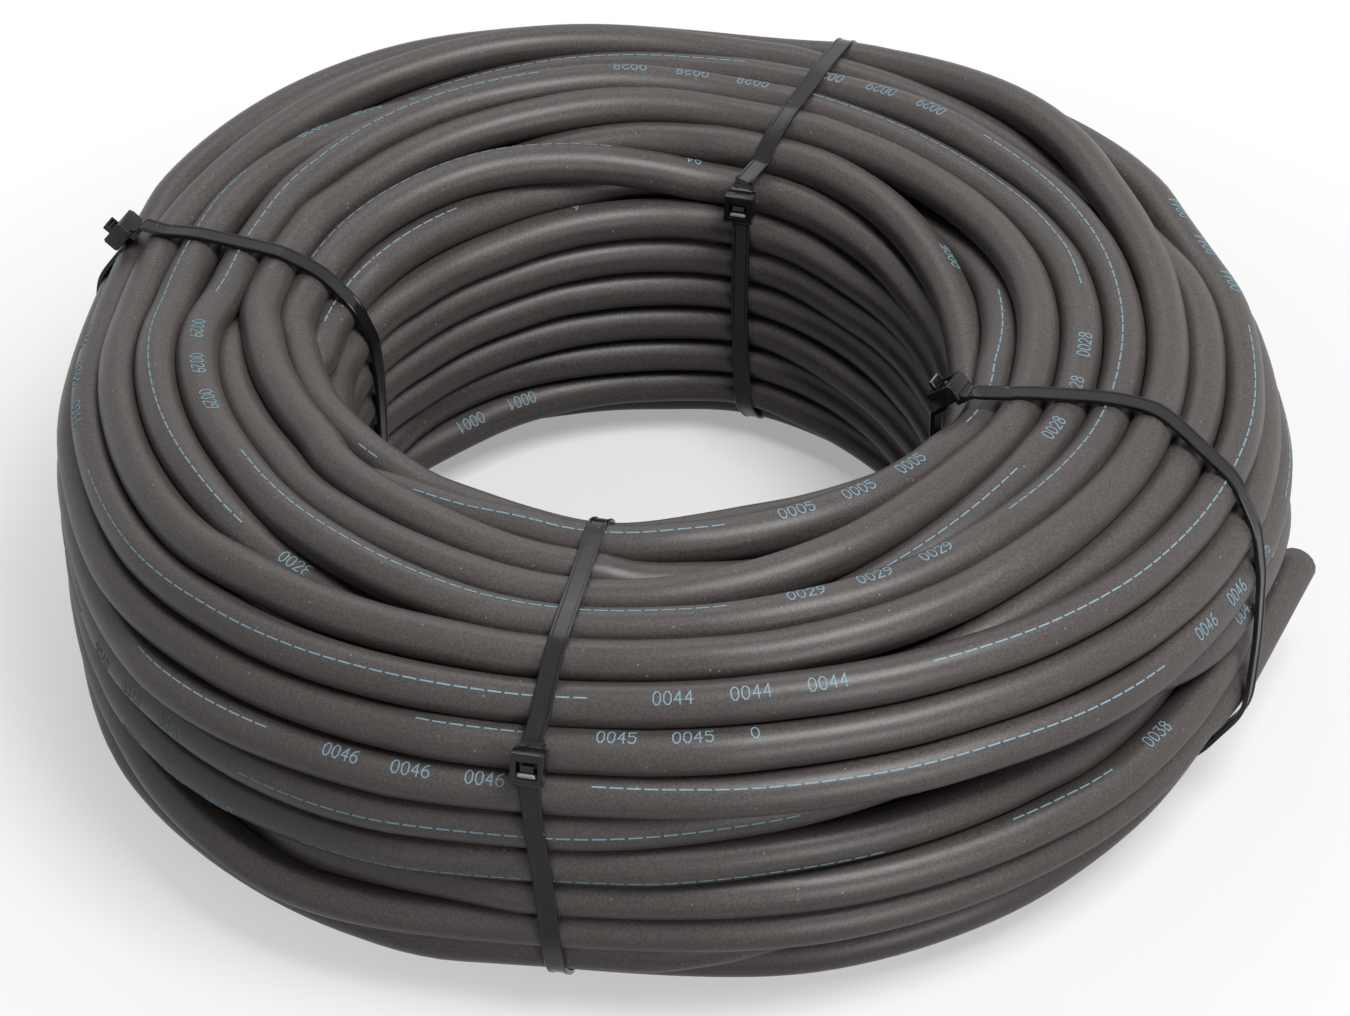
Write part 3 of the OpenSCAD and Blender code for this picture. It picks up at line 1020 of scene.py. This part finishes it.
# A spot just off the sheath is hidden where a turn lies nearer to it than this; both are in
# diameters of the cable, from its centre line
SPOT_OFF = 0.9
SPOT_CLEAR = 0.72

# The faces of a bar, over its four corners in the sheath and the four off it
BAR_FACES = np.array([[3, 2, 1, 0], [4, 5, 6, 7], [0, 1, 5, 4],
                      [1, 2, 6, 5], [2, 3, 7, 6], [3, 0, 4, 7]])


def stroke(start, end, width, longest=0.0008):
    """The corners, in (along, round) metres, of the short bars that make one stroke."""
    a, b = np.array(start), np.array(end)
    way = (b - a) / np.linalg.norm(b - a)
    a, b = a - way * width / 2, b + way * width / 2
    half = np.array([-way[1], way[0]]) * width / 2
    parts = max(1, math.ceil(abs(b[1] - a[1]) / longest))
    cuts = [a + (b - a) * i / parts for i in range(parts + 1)]
    return [(p - half, q - half, q + half, p + half) for p, q in zip(cuts, cuts[1:])]


def number_bars(text, at, height, line):
    """Bars of a number that starts at the given length of cable, read along the cable."""
    cell, pitch = height / 4, DIGIT_PITCH * height
    bars = []
    for i, digit in enumerate(text):
        points = [(at + i * pitch + DIGIT_STEP * height * x, (y - 2) * cell)
                  for x, y in DIGITS[digit]]
        for p, q in zip(points, points[1:]):
            bars += stroke(p, q, line)
    return bars


def marking_bars(length):
    """All bars of the marking: dashed lines, with the metre marks of each stretch between them."""
    style = bpy.context.scene.coil_print
    rng = np.random.default_rng(MARKING_SEED)
    half = style.line_width / 2
    bars, at = [], MARKING_START
    while at < length - MARKING_BARE:
        stretch = rng.uniform(*DASHED)
        end = min(at + stretch, length - LAST_DASH)
        for s in np.arange(at, end, style.dash + style.dash_gap):
            bars += stroke((s + half, 0), (s + style.dash - half, 0), style.line_width)
        at += stretch + MARK_BEFORE
        mark = f"{int(at):04d}"
        for _ in range(MARKS):
            if at + MARKING_BARE < length:
                bars += number_bars(mark, at, style.digit_height, DIGIT_LINE * style.line_width)
            at += MARK_PITCH
        at += MARK_AFTER
    return np.array(bars)


def shows(at):
    """For each length of cable, whether another turn leaves its marking in sight."""
    d = bpy.context.scene.coil_cable.diameter
    coil = bpy.context.scene.coil_winding
    turns, slices = coil.turns, coil.slices
    index = np.interp(at, wound["reach"], np.arange(len(wound["reach"])))
    place, path = wound["place"], wound["path"]
    slot = np.clip((index / FINER).round().astype(int), 0, len(place) - 1)
    turn = wound["turn"][np.clip(index.round().astype(int), 0, len(path) - 1)]
    # side points to the ring's outside, off points up
    looked = place[slot] + SPOT_OFF * d * np.stack([np.cos(turn), np.sin(turn)], 1)
    grid = place.reshape(turns, slices, 2)
    apart = np.linalg.norm(grid[:, slot % slices] - looked[None], axis=-1)
    apart[slot // slices, np.arange(len(slot))] = np.inf
    return apart.min(axis=0) > SPOT_CLEAR * d


def on_sheath(at, round_, height):
    """Points on the sheath at a length of cable and a distance round from the marking's line."""
    radius = bpy.context.scene.coil_cable.diameter / 2
    reach = wound["reach"]
    k = np.clip(np.searchsorted(reach, at) - 1, 0, len(reach) - 2)
    share = ((at - reach[k]) / (reach[k + 1] - reach[k]))[..., None]

    def between(values):
        return values[k] * (1 - share) + values[k + 1] * share

    angle = between(wound["turn"][:, None])[..., 0] + round_ / radius
    side, off = unit(between(wound["side"])), unit(between(wound["off"]))
    return between(wound["path"]) + (radius + height) * (
        np.cos(angle)[..., None] * side + np.sin(angle)[..., None] * off)


class COIL_OT_marking(bpy.types.Operator):
    """Prints the dashed line and the metre marks on the sheath"""

    bl_idname = "coil.marking"
    bl_label = "Marking"

    def execute(self, context):
        bars = marking_bars(wound["reach"][-1])
        bars = bars[shows(bars[..., 0].mean(axis=1))]
        corners = np.concatenate(
            [on_sheath(bars[..., 0], bars[..., 1], height) for height in INK_REACH], axis=1)
        faces = (BAR_FACES[None] + 8 * np.arange(len(corners))[:, None, None]).reshape(-1, 4)
        mesh = bpy.data.meshes.new("marking")
        mesh.from_pydata(corners.reshape(-1, 3).tolist(), [], faces.tolist())
        new_piece("marking", mesh, marking_ink())
        return {"FINISHED"}


# ---------------------------------------------------------------- the cable ties

# Sizes of a head in millimetres, in its own axes: x along the strap towards its root,
# y off the turns, z across
HEAD = {
    "width": 7.8, "half": 4.1, "height": 6.2, "under": 1.5,
    "window": (-2.35, 1.75), "window_width": 5.2,
    "tail": (-2.2, -0.9), "tail_top": 6.0, "stub": 2.4, "bend": 0.8,
    "tooth_start": 3.15, "tooth_pitch": 1.0, "tooth_depth": 0.45, "tooth_width": 3.4,
    "hinge": (0.25, 2.1),
}

# The ties whose tails stand out as short stubs
STUBS = ("tie_left", "tie_right")

# Faces of a packed tie that reach this far across it belong to its head, and those whose
# normals hardly lean across it are the head's top and foot
BROAD_REACH = 0.0035
BROAD_LEAN = 0.1

# How far a strap strays from its head's azimuth, in degrees, at angles round the section
# (0 outer wall, 90 top, 180 bore, 270 bottom)
STRAY = {
    "tie_front": [(-45, 1.8), (0, 1.0), (25, 0.0), (90, 0.7), (130, 0.2), (150, -1.0),
                  (210, -1.0), (270, 1.0)],
    "tie_left": [(-40, 1.0), (0, 0.5), (40, 0.0), (90, 1.0), (140, 1.0), (180, 0.5), (270, 1.0)],
    "tie_back": [(-45, -5.0), (0, -5.2), (50, -5.2), (100, -4.8), (118, -3.2), (136, -1.0),
                 (150, 0.0), (180, 0.4), (200, 0.0), (225, -0.9), (270, -3.2)],
    "tie_right": [(-60, -3.5), (-30, -2.4), (-12, 1.0), (20, 1.4), (62, 4.2), (85, 7.0), (105, 5.0),
                  (130, 0.5), (180, 0.0), (240, -2.0)],
}

# The degrees to either side over which that is averaged
STRAY_BLUR = np.linspace(-14, 14, 9)

# Middle of the section that the straps go round
SECTION = np.array([0.118, 0.049])

# A strap's line: the degrees next to its head in which it doesn't lie on the turns, the steps
# round the turns, the passes that ease it, and its points once they are evenly spaced
STRAP_LEAD = math.radians(13)
STRAP_STEPS = 240
EASE_PASSES = 7
EVEN_POINTS = 320

# In a head's axes, in millimetres: where the strap's root runs out, where its tail comes in under
# the head, the height from which the tail stands straight, and the degrees of the bend between
ROOT_AT = (2.6, 4.4, 6.4)
TAIL_AT = (-6.6, -4.6)
TAIL_UPRIGHT = 2.6
TAIL_BEND = range(-80, 1, 20)

# A strap's profile: its rims, its broken edges and how deep its face lies between the rims, which
# ends this many points before its end; and the points of the tail that have the teeth's channel
STRAP_RIM = 0.00045
STRAP_EDGE = 0.0002
STRAP_SUNK = 0.00025
SUNK_UP_TO = 9
TOOTHED_POINTS = 6

# A tooth's profile, as (rise off the channel, height over its foot) in millimetres
TOOTH = ((-0.05, 0.32), (0.0, 0.32), (HEAD["tooth_depth"], 0.81),
         (HEAD["tooth_depth"], 1.0), (0.0, 1.08), (-0.05, 1.08))

# The steps of the collar at a strap's root, in millimetres: how much wider than the strap it is,
# its foot, its height at the head, and how far it reaches from the head
COLLAR = ((0.45, 0.12, 2.6, 0.8), (0.22, 0.02, 1.9, 1.6))

# A head's edges, in millimetres: how far the block is cut back over its root, under and over its
# tail and along its top, and how far all its edges are rounded; then how far the mouth under the
# window reaches back and up, where the tail bends in, and back at its top
ROOT_CUT, TAIL_CUT, TOP_CUT = 1.2, 0.6, 0.5
HEAD_EDGE = 0.28
MOUTH, MOUTH_TOP = 0.9, 0.2

# The ledge in the window: where it starts, and its height there and at the window's wall
LEDGE_FROM, LEDGE_LOW, LEDGE_HIGH = 0.95, 2.5, 2.7

# How far one piece is carried into the next, and a cutter past what it cuts
OVERLAP = 0.1
PAST = 1.0

# A trimmed tail's end: how far its roughness stands back from the edges, and its least and
# greatest height, with the edges sunk below the tail's own
CUT_MARGIN = (0.1, 0.12)
CUT_ROUGH = (0.02, 0.16)
CUT_SUNK = 0.05

# Sides of the circles that a strap is stretched over
ROUND_SIDES = 24

# The last step before the free end may be this much longer than the average one
LAST_STEP_SPARE = 1.3


def stray(name, angle):
    """How far a strap strays, in radians, at an angle round the section in degrees."""
    knots = np.array(STRAY[name], float)
    x = np.concatenate([knots[:, 0] - 360, knots[:, 0], knots[:, 0] + 360])
    y = np.tile(knots[:, 1], 3)
    spread = [np.interp((angle + o + 180) % 360 - 180, x, y) for o in STRAY_BLUR]
    return np.radians(np.mean(spread, axis=0))


def turns_at(azimuth):
    """The (radius, height) of each turn's centre line at an azimuth."""
    coil = bpy.context.scene.coil_winding
    place = wound["place"]
    exit_azimuth = exit_place()[0]
    slot = ((azimuth - exit_azimuth) % (2 * math.pi)) / (2 * math.pi) * coil.slices
    first = int(slot)
    share = slot - first
    index = first + coil.slices * np.arange(coil.turns)
    index = index[index + 1 < len(place)]
    across = place[index] * (1 - share) + place[index + 1] * share
    # the free end and the last step before it, where they cross the same half plane
    free = bpy.context.scene.coil_cable.free_length
    last_step = wound["reach"][-1] / coil.turns / coil.slices * LAST_STEP_SPARE
    start = END_TIP - END_AXIS * free - np.array(RING_AXIS)
    outward = np.array([math.cos(azimuth), math.sin(azimuth)])
    sideways = np.array([-outward[1], outward[0]])
    along = -(start[:2] @ sideways) / (END_AXIS[:2] @ sideways)
    hit = start + END_AXIS * along
    if -last_step < along < free and hit[:2] @ outward > 0:
        across = np.vstack([across, [hit[:2] @ outward, hit[2] + RING_AXIS.z]])
    return across


def tight_line(points, radius):
    """The outline of a band stretched round circles, as its corner points in order."""
    ring = np.array(circle(0, 0, radius, ROUND_SIDES))
    cloud = (points[:, None] + ring[None]).reshape(-1, 2)
    cloud = cloud[np.lexsort((cloud[:, 1], cloud[:, 0]))]

    def chain(row):
        kept = []
        for p in row:
            while len(kept) > 1:
                a, b = kept[-2], kept[-1]
                if (b[0] - a[0]) * (p[1] - a[1]) - (b[1] - a[1]) * (p[0] - a[0]) > 0:
                    break
                kept.pop()
            kept.append(p)
        return kept[:-1]

    return np.array(chain(cloud) + chain(cloud[::-1]))


def reach_of(outline, angle):
    """The point of an outline that lies at an angle from the section's middle."""
    a = outline - SECTION
    b = np.roll(a, -1, axis=0)
    u = np.array([math.cos(angle), math.sin(angle)])
    side_a = u[0] * a[:, 1] - u[1] * a[:, 0]
    side_b = u[0] * b[:, 1] - u[1] * b[:, 0]
    cross = (side_a <= 0) & (side_b > 0)
    share = side_a[cross] / (side_a[cross] - side_b[cross])
    hit = a[cross] * (1 - share[:, None]) + b[cross] * share[:, None]
    return SECTION + hit[np.argmax(hit @ u)]


def head_axes(name):
    """Foot of a head on the turns, and its ways along, off and across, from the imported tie."""
    joint = HINGES[name + "_pawl"]
    pivot, pin = Vector(joint["pos_m"]), Vector(joint["axis"])
    mesh = frame["nodes"][name].data
    broad = {}
    for face in mesh.polygons:
        reach = max(abs((mesh.vertices[i].co - pivot).dot(pin)) for i in face.vertices)
        if reach > BROAD_REACH and abs(face.normal.dot(pin)) < BROAD_LEAN:
            key = tuple(round(c, 2) for c in face.normal)
            broad.setdefault(key, []).append(face)
    faces = max(broad.values(), key=lambda row: sum(face.area for face in row))
    off = sum((face.normal * face.area for face in faces), Vector()).normalized()
    azimuth = tie_azimuth(name)
    outwards = pivot - Vector(in_frame(SECTION[0], SECTION[1], azimuth))
    if off.dot(outwards) < 0:
        off.negate()
    along = pin.cross(off).normalized()
    hinge_x, hinge_y = (MM * c for c in HEAD["hinge"])
    foot = pivot - along * hinge_x - off * hinge_y
    return foot, along, off, along.cross(off)


def head_matrix(name):
    """From a head's own axes, in millimetres, to the part's frame."""
    foot, along, off, across = head_axes(name)
    matrix = Matrix((along, off, across)).transposed().to_4x4() @ Matrix.Scale(MM, 4)
    matrix.translation = foot
    return matrix


def tail_top(name):
    """How high a tail stands in its head's axes."""
    return HEAD["tail_top"] + (HEAD["stub"] if name in STUBS else 0)


def strap_line(name):
    """Middle line of a strap from inside its head, round the turns and up through the window."""
    ties, cable = bpy.context.scene.coil_ties, bpy.context.scene.coil_cable
    place = head_matrix(name)
    foot, along, _, across = head_axes(name)
    azimuth = tie_azimuth(name)
    half = ties.strap_thickness / MM / 2
    flat = Vector((math.cos(azimuth), math.sin(azimuth), 0))
    section = np.array([(foot - Vector((*RING_AXIS.xy, 0))).dot(flat), foot.z]) - SECTION
    start = math.atan2(section[1], section[0])
    turned = Vector((-section[1], section[0]))
    way = 1 if along.dot(flat * turned[0] + Vector((0, 0, turned[1]))) > 0 else -1
    points = [place @ Vector((x, half, 0)) for x in ROOT_AT]
    cables = [across] * len(points)
    for i in range(STRAP_STEPS + 1):
        angle = start + way * (STRAP_LEAD + (2 * math.pi - 2 * STRAP_LEAD) * i / STRAP_STEPS)
        at = azimuth + float(stray(name, math.degrees(angle)))
        r, z = reach_of(tight_line(turns_at(at), cable.diameter / 2), angle)
        out = unit(np.array([r, z]) - SECTION)
        r, z = np.array([r, z]) + out * half * MM
        points.append(Vector(in_frame(r, max(z, half * MM), at)))
        tangent = Vector((-math.sin(at), math.cos(at), 0))
        cables.append(tangent if tangent.dot(across) > 0 else -tangent)
    low, high = HEAD["tail"]
    bend = HEAD["bend"]
    tail = [(x, half) for x in TAIL_AT]
    for degrees in TAIL_BEND:
        t = math.radians(degrees)
        tail.append((low - bend + (bend + half) * math.cos(t),
                     2 * half + bend + (bend + half) * math.sin(t)))
    tail += [((low + high) / 2, y) for y in np.linspace(TAIL_UPRIGHT, tail_top(name), 5)]
    for x, y in tail:
        points.append(place @ Vector((x, y, 0)))
        cables.append(across)
    return np.array(points), np.array(cables), len(tail)


def even_line(points, cables, tail):
    """The strap's line with its body eased and evenly spaced; its tail is kept."""
    rest = len(points) - tail + len(TAIL_AT)
    body = points[:rest].copy()
    ease = slice(len(ROOT_AT), len(body) - len(ROOT_AT))
    for _ in range(EASE_PASSES):
        body[1:-1][ease] = (0.25 * (body[:-2] + body[2:]) + 0.5 * body[1:-1])[ease]
    reach = np.concatenate([[0], np.cumsum(np.linalg.norm(np.diff(body, axis=0), axis=1))])
    even = np.linspace(0, reach[-1], EVEN_POINTS)
    turned = cables[:rest]
    body = np.stack([np.interp(even, reach, body[:, k]) for k in range(3)], 1)
    turned = unit(np.stack([np.interp(even, reach, turned[:, k]) for k in range(3)], 1))
    return np.concatenate([body, points[rest:]]), np.concatenate([turned, cables[rest:]])


def strap_mesh(name):
    """A strap with raised rims outside and, in its tail, a channel for the teeth."""
    ties = bpy.context.scene.coil_ties
    points, cables, tail = strap_line(name)
    path, cable_way = even_line(points, cables, tail)
    ahead = unit(np.gradient(path, axis=0))
    across = unit(cable_way - (cable_way * ahead).sum(1, keepdims=True) * ahead)
    off = np.cross(across, ahead)
    _, _, head_off, _ = head_axes(name)
    if off[0] @ np.array(head_off) < 0:
        off = -off
    w, t = ties.strap_width / 2, ties.strap_thickness / 2
    rim, edge, channel = STRAP_RIM, STRAP_EDGE, MM * HEAD["tooth_width"] / 2
    to_end = len(path) - np.arange(len(path))
    depth = np.where(to_end <= TOOTHED_POINTS, MM * HEAD["tooth_depth"], 0.0)
    sunk = np.where(to_end <= SUNK_UP_TO, 0.0, STRAP_SUNK)
    rings = []
    for k, point in enumerate(path):
        profile = [
            (-w + edge, -t), (-channel, -t), (-channel + 1e-5, -t + depth[k]),
            (channel - 1e-5, -t + depth[k]), (channel, -t), (w - edge, -t),
            (w, -t + edge), (w, t - edge),
            (w - edge, t), (w - edge - rim, t), (w - edge - 1.6 * rim, t - sunk[k]),
            (-w + edge + 1.6 * rim, t - sunk[k]), (-w + edge + rim, t), (-w + edge, t),
            (-w, t - edge), (-w, -t + edge)]
        rings.append([point + a * across[k] + b * off[k] for a, b in profile])
    mesh = grid_mesh(name + "_strap", np.array(rings), smooth=False)
    cap_ends(mesh, len(profile))
    mesh.shade_smooth()
    mesh.set_sharp_from_angle(angle=math.radians(32))
    return mesh


def tooth_bars(bm, name):
    """The tail's teeth, which the pawl's teeth stand between."""
    place = head_matrix(name)
    channel = HEAD["tail"][1] - HEAD["tooth_depth"]
    wide, pitch = HEAD["tooth_width"] / 2, HEAD["tooth_pitch"]
    y = HEAD["tooth_start"] - pitch
    while y + 1.1 * pitch < tail_top(name):
        prism(bm, [(channel + out, y + up) for out, up in TOOTH], -wide, wide, place)
        y += pitch


def head_mesh(name):
    """A head: a block with rounded edges and a window through it for the tail."""
    half, height, under = HEAD["half"], HEAD["height"], HEAD["under"]
    low, high = HEAD["window"]
    wide = HEAD["width"] / 2
    bm = bmesh.new()
    prism(bm, [(-half, under + TAIL_CUT), (-half + TAIL_CUT, under), (half, under),
               (half, height - ROOT_CUT), (half - TOP_CUT, height), (-half + TOP_CUT, height),
               (-half, height - TAIL_CUT)],
          -wide, wide, Matrix())
    body = placed("head", mesh_of(bm, "head"))
    cut = bmesh.new()
    mouth = HEAD["window_width"] / 2
    foot, top = under - PAST, height + PAST
    prism(cut, [(low, foot), (high, foot), (high, top), (low, top)], -mouth, mouth, Matrix())
    prism(cut, [(low - MOUTH, foot), (low + OVERLAP, foot), (low + OVERLAP, under + MOUTH),
                (low - MOUTH_TOP, under + MOUTH)], -mouth, mouth, Matrix())
    window = placed("window", mesh_of(cut, "window"))
    boolean = body.modifiers.new("window", "BOOLEAN")
    boolean.object = window
    boolean.operation = "DIFFERENCE"
    boolean.solver = "EXACT"
    boolean.use_self = True
    bevel = body.modifiers.new("edges", "BEVEL")
    bevel.width = HEAD_EDGE
    bevel.segments = 3
    bevel.limit_method = "ANGLE"
    bevel.angle_limit = math.radians(35)
    mesh = finished(body)
    bpy.data.objects.remove(window)
    mesh.transform(head_matrix(name))
    return mesh


def collar_bars(bm, name):
    """The thicker root of the strap, and the ledge in the window on its side."""
    place = head_matrix(name)
    half, high = HEAD["half"], HEAD["window"][1]
    thick = bpy.context.scene.coil_ties.strap_thickness / MM
    wide = bpy.context.scene.coil_ties.strap_width / MM / 2
    for wider, low, at_head, reach in COLLAR:
        across = wide + wider
        prism(bm, [(high + 0.3, low), (half + reach, low + 0.05), (half + reach, thick * 0.95),
                   (half + 0.3, at_head), (high + 0.3, at_head)], -across, across, place)
    mouth, under, wall_at = HEAD["window_width"] / 2, HEAD["under"], high + OVERLAP
    prism(bm, [(LEDGE_FROM, under), (wall_at, under), (wall_at, LEDGE_HIGH),
               (LEDGE_FROM, LEDGE_LOW)], -mouth, mouth, place)


def cut_mesh(name):
    """The rough end of a trimmed tail."""
    place = head_matrix(name)
    low, high = HEAD["tail"]
    top = tail_top(name)
    along, across = CUT_MARGIN
    wide = bpy.context.scene.coil_ties.strap_width / MM / 2 - across
    xs, zs = np.linspace(low + along, high - along, 5), np.linspace(-wide, wide, 13)
    lift = np.random.default_rng(len(name)).uniform(*CUT_ROUGH, (len(zs), len(xs)))
    lift[[0, -1]] = -CUT_SUNK
    lift[:, [0, -1]] = -CUT_SUNK
    points = np.array([[place @ Vector((x, top + lift[i, j], z)) for j, x in enumerate(xs)]
                       for i, z in enumerate(zs)])
    return grid_mesh(name + "_cut", points, closed=False, smooth=False)


def joined(name, meshes):
    """One mesh of several, with their materials kept."""
    bm = bmesh.new()
    slots = []
    for mesh, material in meshes:
        if material not in slots:
            slots.append(material)
        first = len(bm.faces)
        bm.from_mesh(mesh)
        bm.faces.ensure_lookup_table()
        for face in bm.faces[first:]:
            face.material_index = slots.index(material)
    whole = mesh_of(bm, name)
    for material in slots:
        whole.materials.append(material)
    return whole


class COIL_OT_ties(bpy.types.Operator):
    """Straps the turns with the four cable ties and finishes their pawls"""

    bl_idname = "coil.ties"
    bl_label = "Cable ties"

    def execute(self, context):
        for name in TIES:
            small = bmesh.new()
            tooth_bars(small, name)
            collar_bars(small, name)
            details = mesh_of(small, name + "_details")
            details.shade_flat()
            head = head_mesh(name)
            head.shade_smooth()
            head.set_sharp_from_angle(angle=math.radians(38))
            whole = joined(name + "_body", [
                (strap_mesh(name), tie_nylon()), (head, tie_nylon()), (details, tie_nylon()),
                (cut_mesh(name), cut_nylon())])
            piece = new_piece(name + "_body", whole)
            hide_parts(name)
            paint(name + "_pawl", tie_nylon())
        return {"FINISHED"}


# ---------------------------------------------------------------- the stage

# Place, size in metres and watts of each soft lamp, and the spot that they all point at
LAMPS = (
    ((0.42, -0.35, 1.2), 0.58, 15.2),
    ((0.7, -1.25, 0.32), 0.6, 6.8),
    ((-0.15, 0.75, 1.1), 0.5, 1.9),
)
LIT = Vector((0, 0, 0.04))

# What the camera looks at, from the foot of the ring's axis, and the width of its film
LOOKED_AT = Vector((-0.0001, 0.0432, 0))
FILM = 36.0

# How far the floor reaches, the colour with which it lights the coil, and the distances from
# the middle between which it runs out into white
FLOOR_REACH = 6.0
FLOOR_BOUNCE = (0.14, 0.14, 0.14, 1)
WHITE_FROM, WHITE_TO = 0.10, 0.30

# The share of the white world that lights the coil
WORLD_LIGHT = 0.03


def seen(nodes, light):
    """A mask of the rays that see the background: the camera's and the reflections'."""
    return nodes.math("MAXIMUM", light.outputs["Is Camera Ray"], light.outputs["Is Glossy Ray"])


class COIL_OT_stage(bpy.types.Operator):
    """Sets the pale floor, the soft lamps and the camera"""

    bl_idname = "coil.stage"
    bl_label = "Stage"

    def execute(self, context):
        stage = context.scene.coil_stage
        self.floor(stage)
        self.world(context)
        for place, size, power in LAMPS:
            self.lamp(Vector(place), size, power)
        self.camera(context, stage)
        context.scene.view_settings.view_transform = "Standard"
        return {"FINISHED"}

    def floor(self, stage):
        mesh = bpy.data.meshes.new("floor")
        corners = [FLOOR_REACH * Vector(way)
                   for way in ((-1, -1, 0), (1, -1, 0), (1, 1, 0), (-1, 1, 0))]
        mesh.from_pydata(corners, [], [(0, 1, 2, 3)])
        material, nodes, bsdf, place = new_material("studio_floor")
        patches = use_group(nodes, group("Soft Patches"), Vector=place, Scale=3.0, Contrast=0.4)
        pale = nodes.mix(patches["Mask"], rgba(stage.floor, 0.98), rgba(stage.floor))
        light = nodes.add("ShaderNodeLightPath")
        # the camera sees the floor pale, while little light comes back from it
        colour = nodes.mix(light.outputs["Is Camera Ray"], FLOOR_BOUNCE, pale)
        nodes.put(bsdf, Base_Color=colour, Roughness=0.8)
        # away from the coil the floor runs out into white, for camera and reflections alone
        white = nodes.add("ShaderNodeEmission")
        away = nodes.add("ShaderNodeVectorMath", operation="LENGTH")
        nodes.feed(away.inputs[0], place)
        far = nodes.span(away.outputs["Value"], WHITE_FROM, WHITE_TO, 0.35, 1.0)
        blend = nodes.add("ShaderNodeMixShader")
        nodes.feed(blend.inputs[0], nodes.math("MULTIPLY", far, seen(nodes, light)))
        nodes.feed(blend.inputs[1], bsdf.outputs[0])
        nodes.feed(blend.inputs[2], white.outputs[0])
        nodes.put(nodes.tree.nodes["Material Output"], Surface=blend.outputs[0])
        mesh.materials.append(material)
        placed("floor", mesh)

    def world(self, context):
        world = bpy.data.worlds.new("studio")
        context.scene.world = world
        world.use_nodes = True
        nodes = Nodes(world.node_tree)
        shown = seen(nodes, nodes.add("ShaderNodeLightPath"))
        nodes.put(world.node_tree.nodes["Background"], Color=(1, 1, 1, 1),
                  Strength=nodes.span(shown, 0.0, 1.0, WORLD_LIGHT, 1.0))

    def lamp(self, place, size, power):
        light = bpy.data.lights.new("soft_lamp", "AREA")
        light.size = size
        light.energy = power
        lamp = placed("soft_lamp", light)
        lamp.location = place
        lamp.rotation_euler = (LIT - place).to_track_quat("-Z", "Y").to_euler()

    def camera(self, context, stage):
        data = bpy.data.cameras.new("camera")
        data.lens = stage.lens
        data.sensor_width = FILM
        camera = placed("camera", data)
        target = Vector((*RING_AXIS.xy, 0)) + LOOKED_AT
        back = Vector((0, -math.cos(stage.elevation), math.sin(stage.elevation)))
        camera.location = target + back * stage.distance
        camera.rotation_euler = (math.pi / 2 - stage.elevation, 0, 0)
        context.scene.camera = camera


# ---------------------------------------------------------------- the add-on


class COIL_PT_panel(bpy.types.Panel):
    """Lists the coil's settings and the steps that make it"""

    bl_label = "Cable Coil"
    bl_idname = "COIL_PT_panel"
    bl_space_type = "VIEW_3D"
    bl_region_type = "UI"
    bl_category = "Cable Coil"

    def draw(self, context):
        for group_name, kind in GROUPS.items():
            box = self.layout.box()
            for key in kind.__annotations__:
                box.prop(getattr(context.scene, group_name), key)
        for operator in OPERATORS:
            self.layout.operator(operator.bl_idname)


OPERATORS = (COIL_OT_cut_end, COIL_OT_turns, COIL_OT_marking, COIL_OT_ties, COIL_OT_stage)


def register():
    for kind in (*GROUPS.values(), *OPERATORS, COIL_PT_panel):
        bpy.utils.register_class(kind)
    for name, kind in GROUPS.items():
        setattr(bpy.types.Scene, name, PointerProperty(type=kind))


def unregister():
    for name in GROUPS:
        delattr(bpy.types.Scene, name)
    for kind in (COIL_PT_panel, *reversed(OPERATORS), *GROUPS.values()):
        bpy.utils.unregister_class(kind)


def main():
    register()
    bpy.ops.coil.cut_end()
    bpy.ops.coil.turns()
    bpy.ops.coil.marking()
    bpy.ops.coil.ties()
    bpy.ops.coil.stage()
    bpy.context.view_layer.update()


if __name__ == "__main__":
    main()
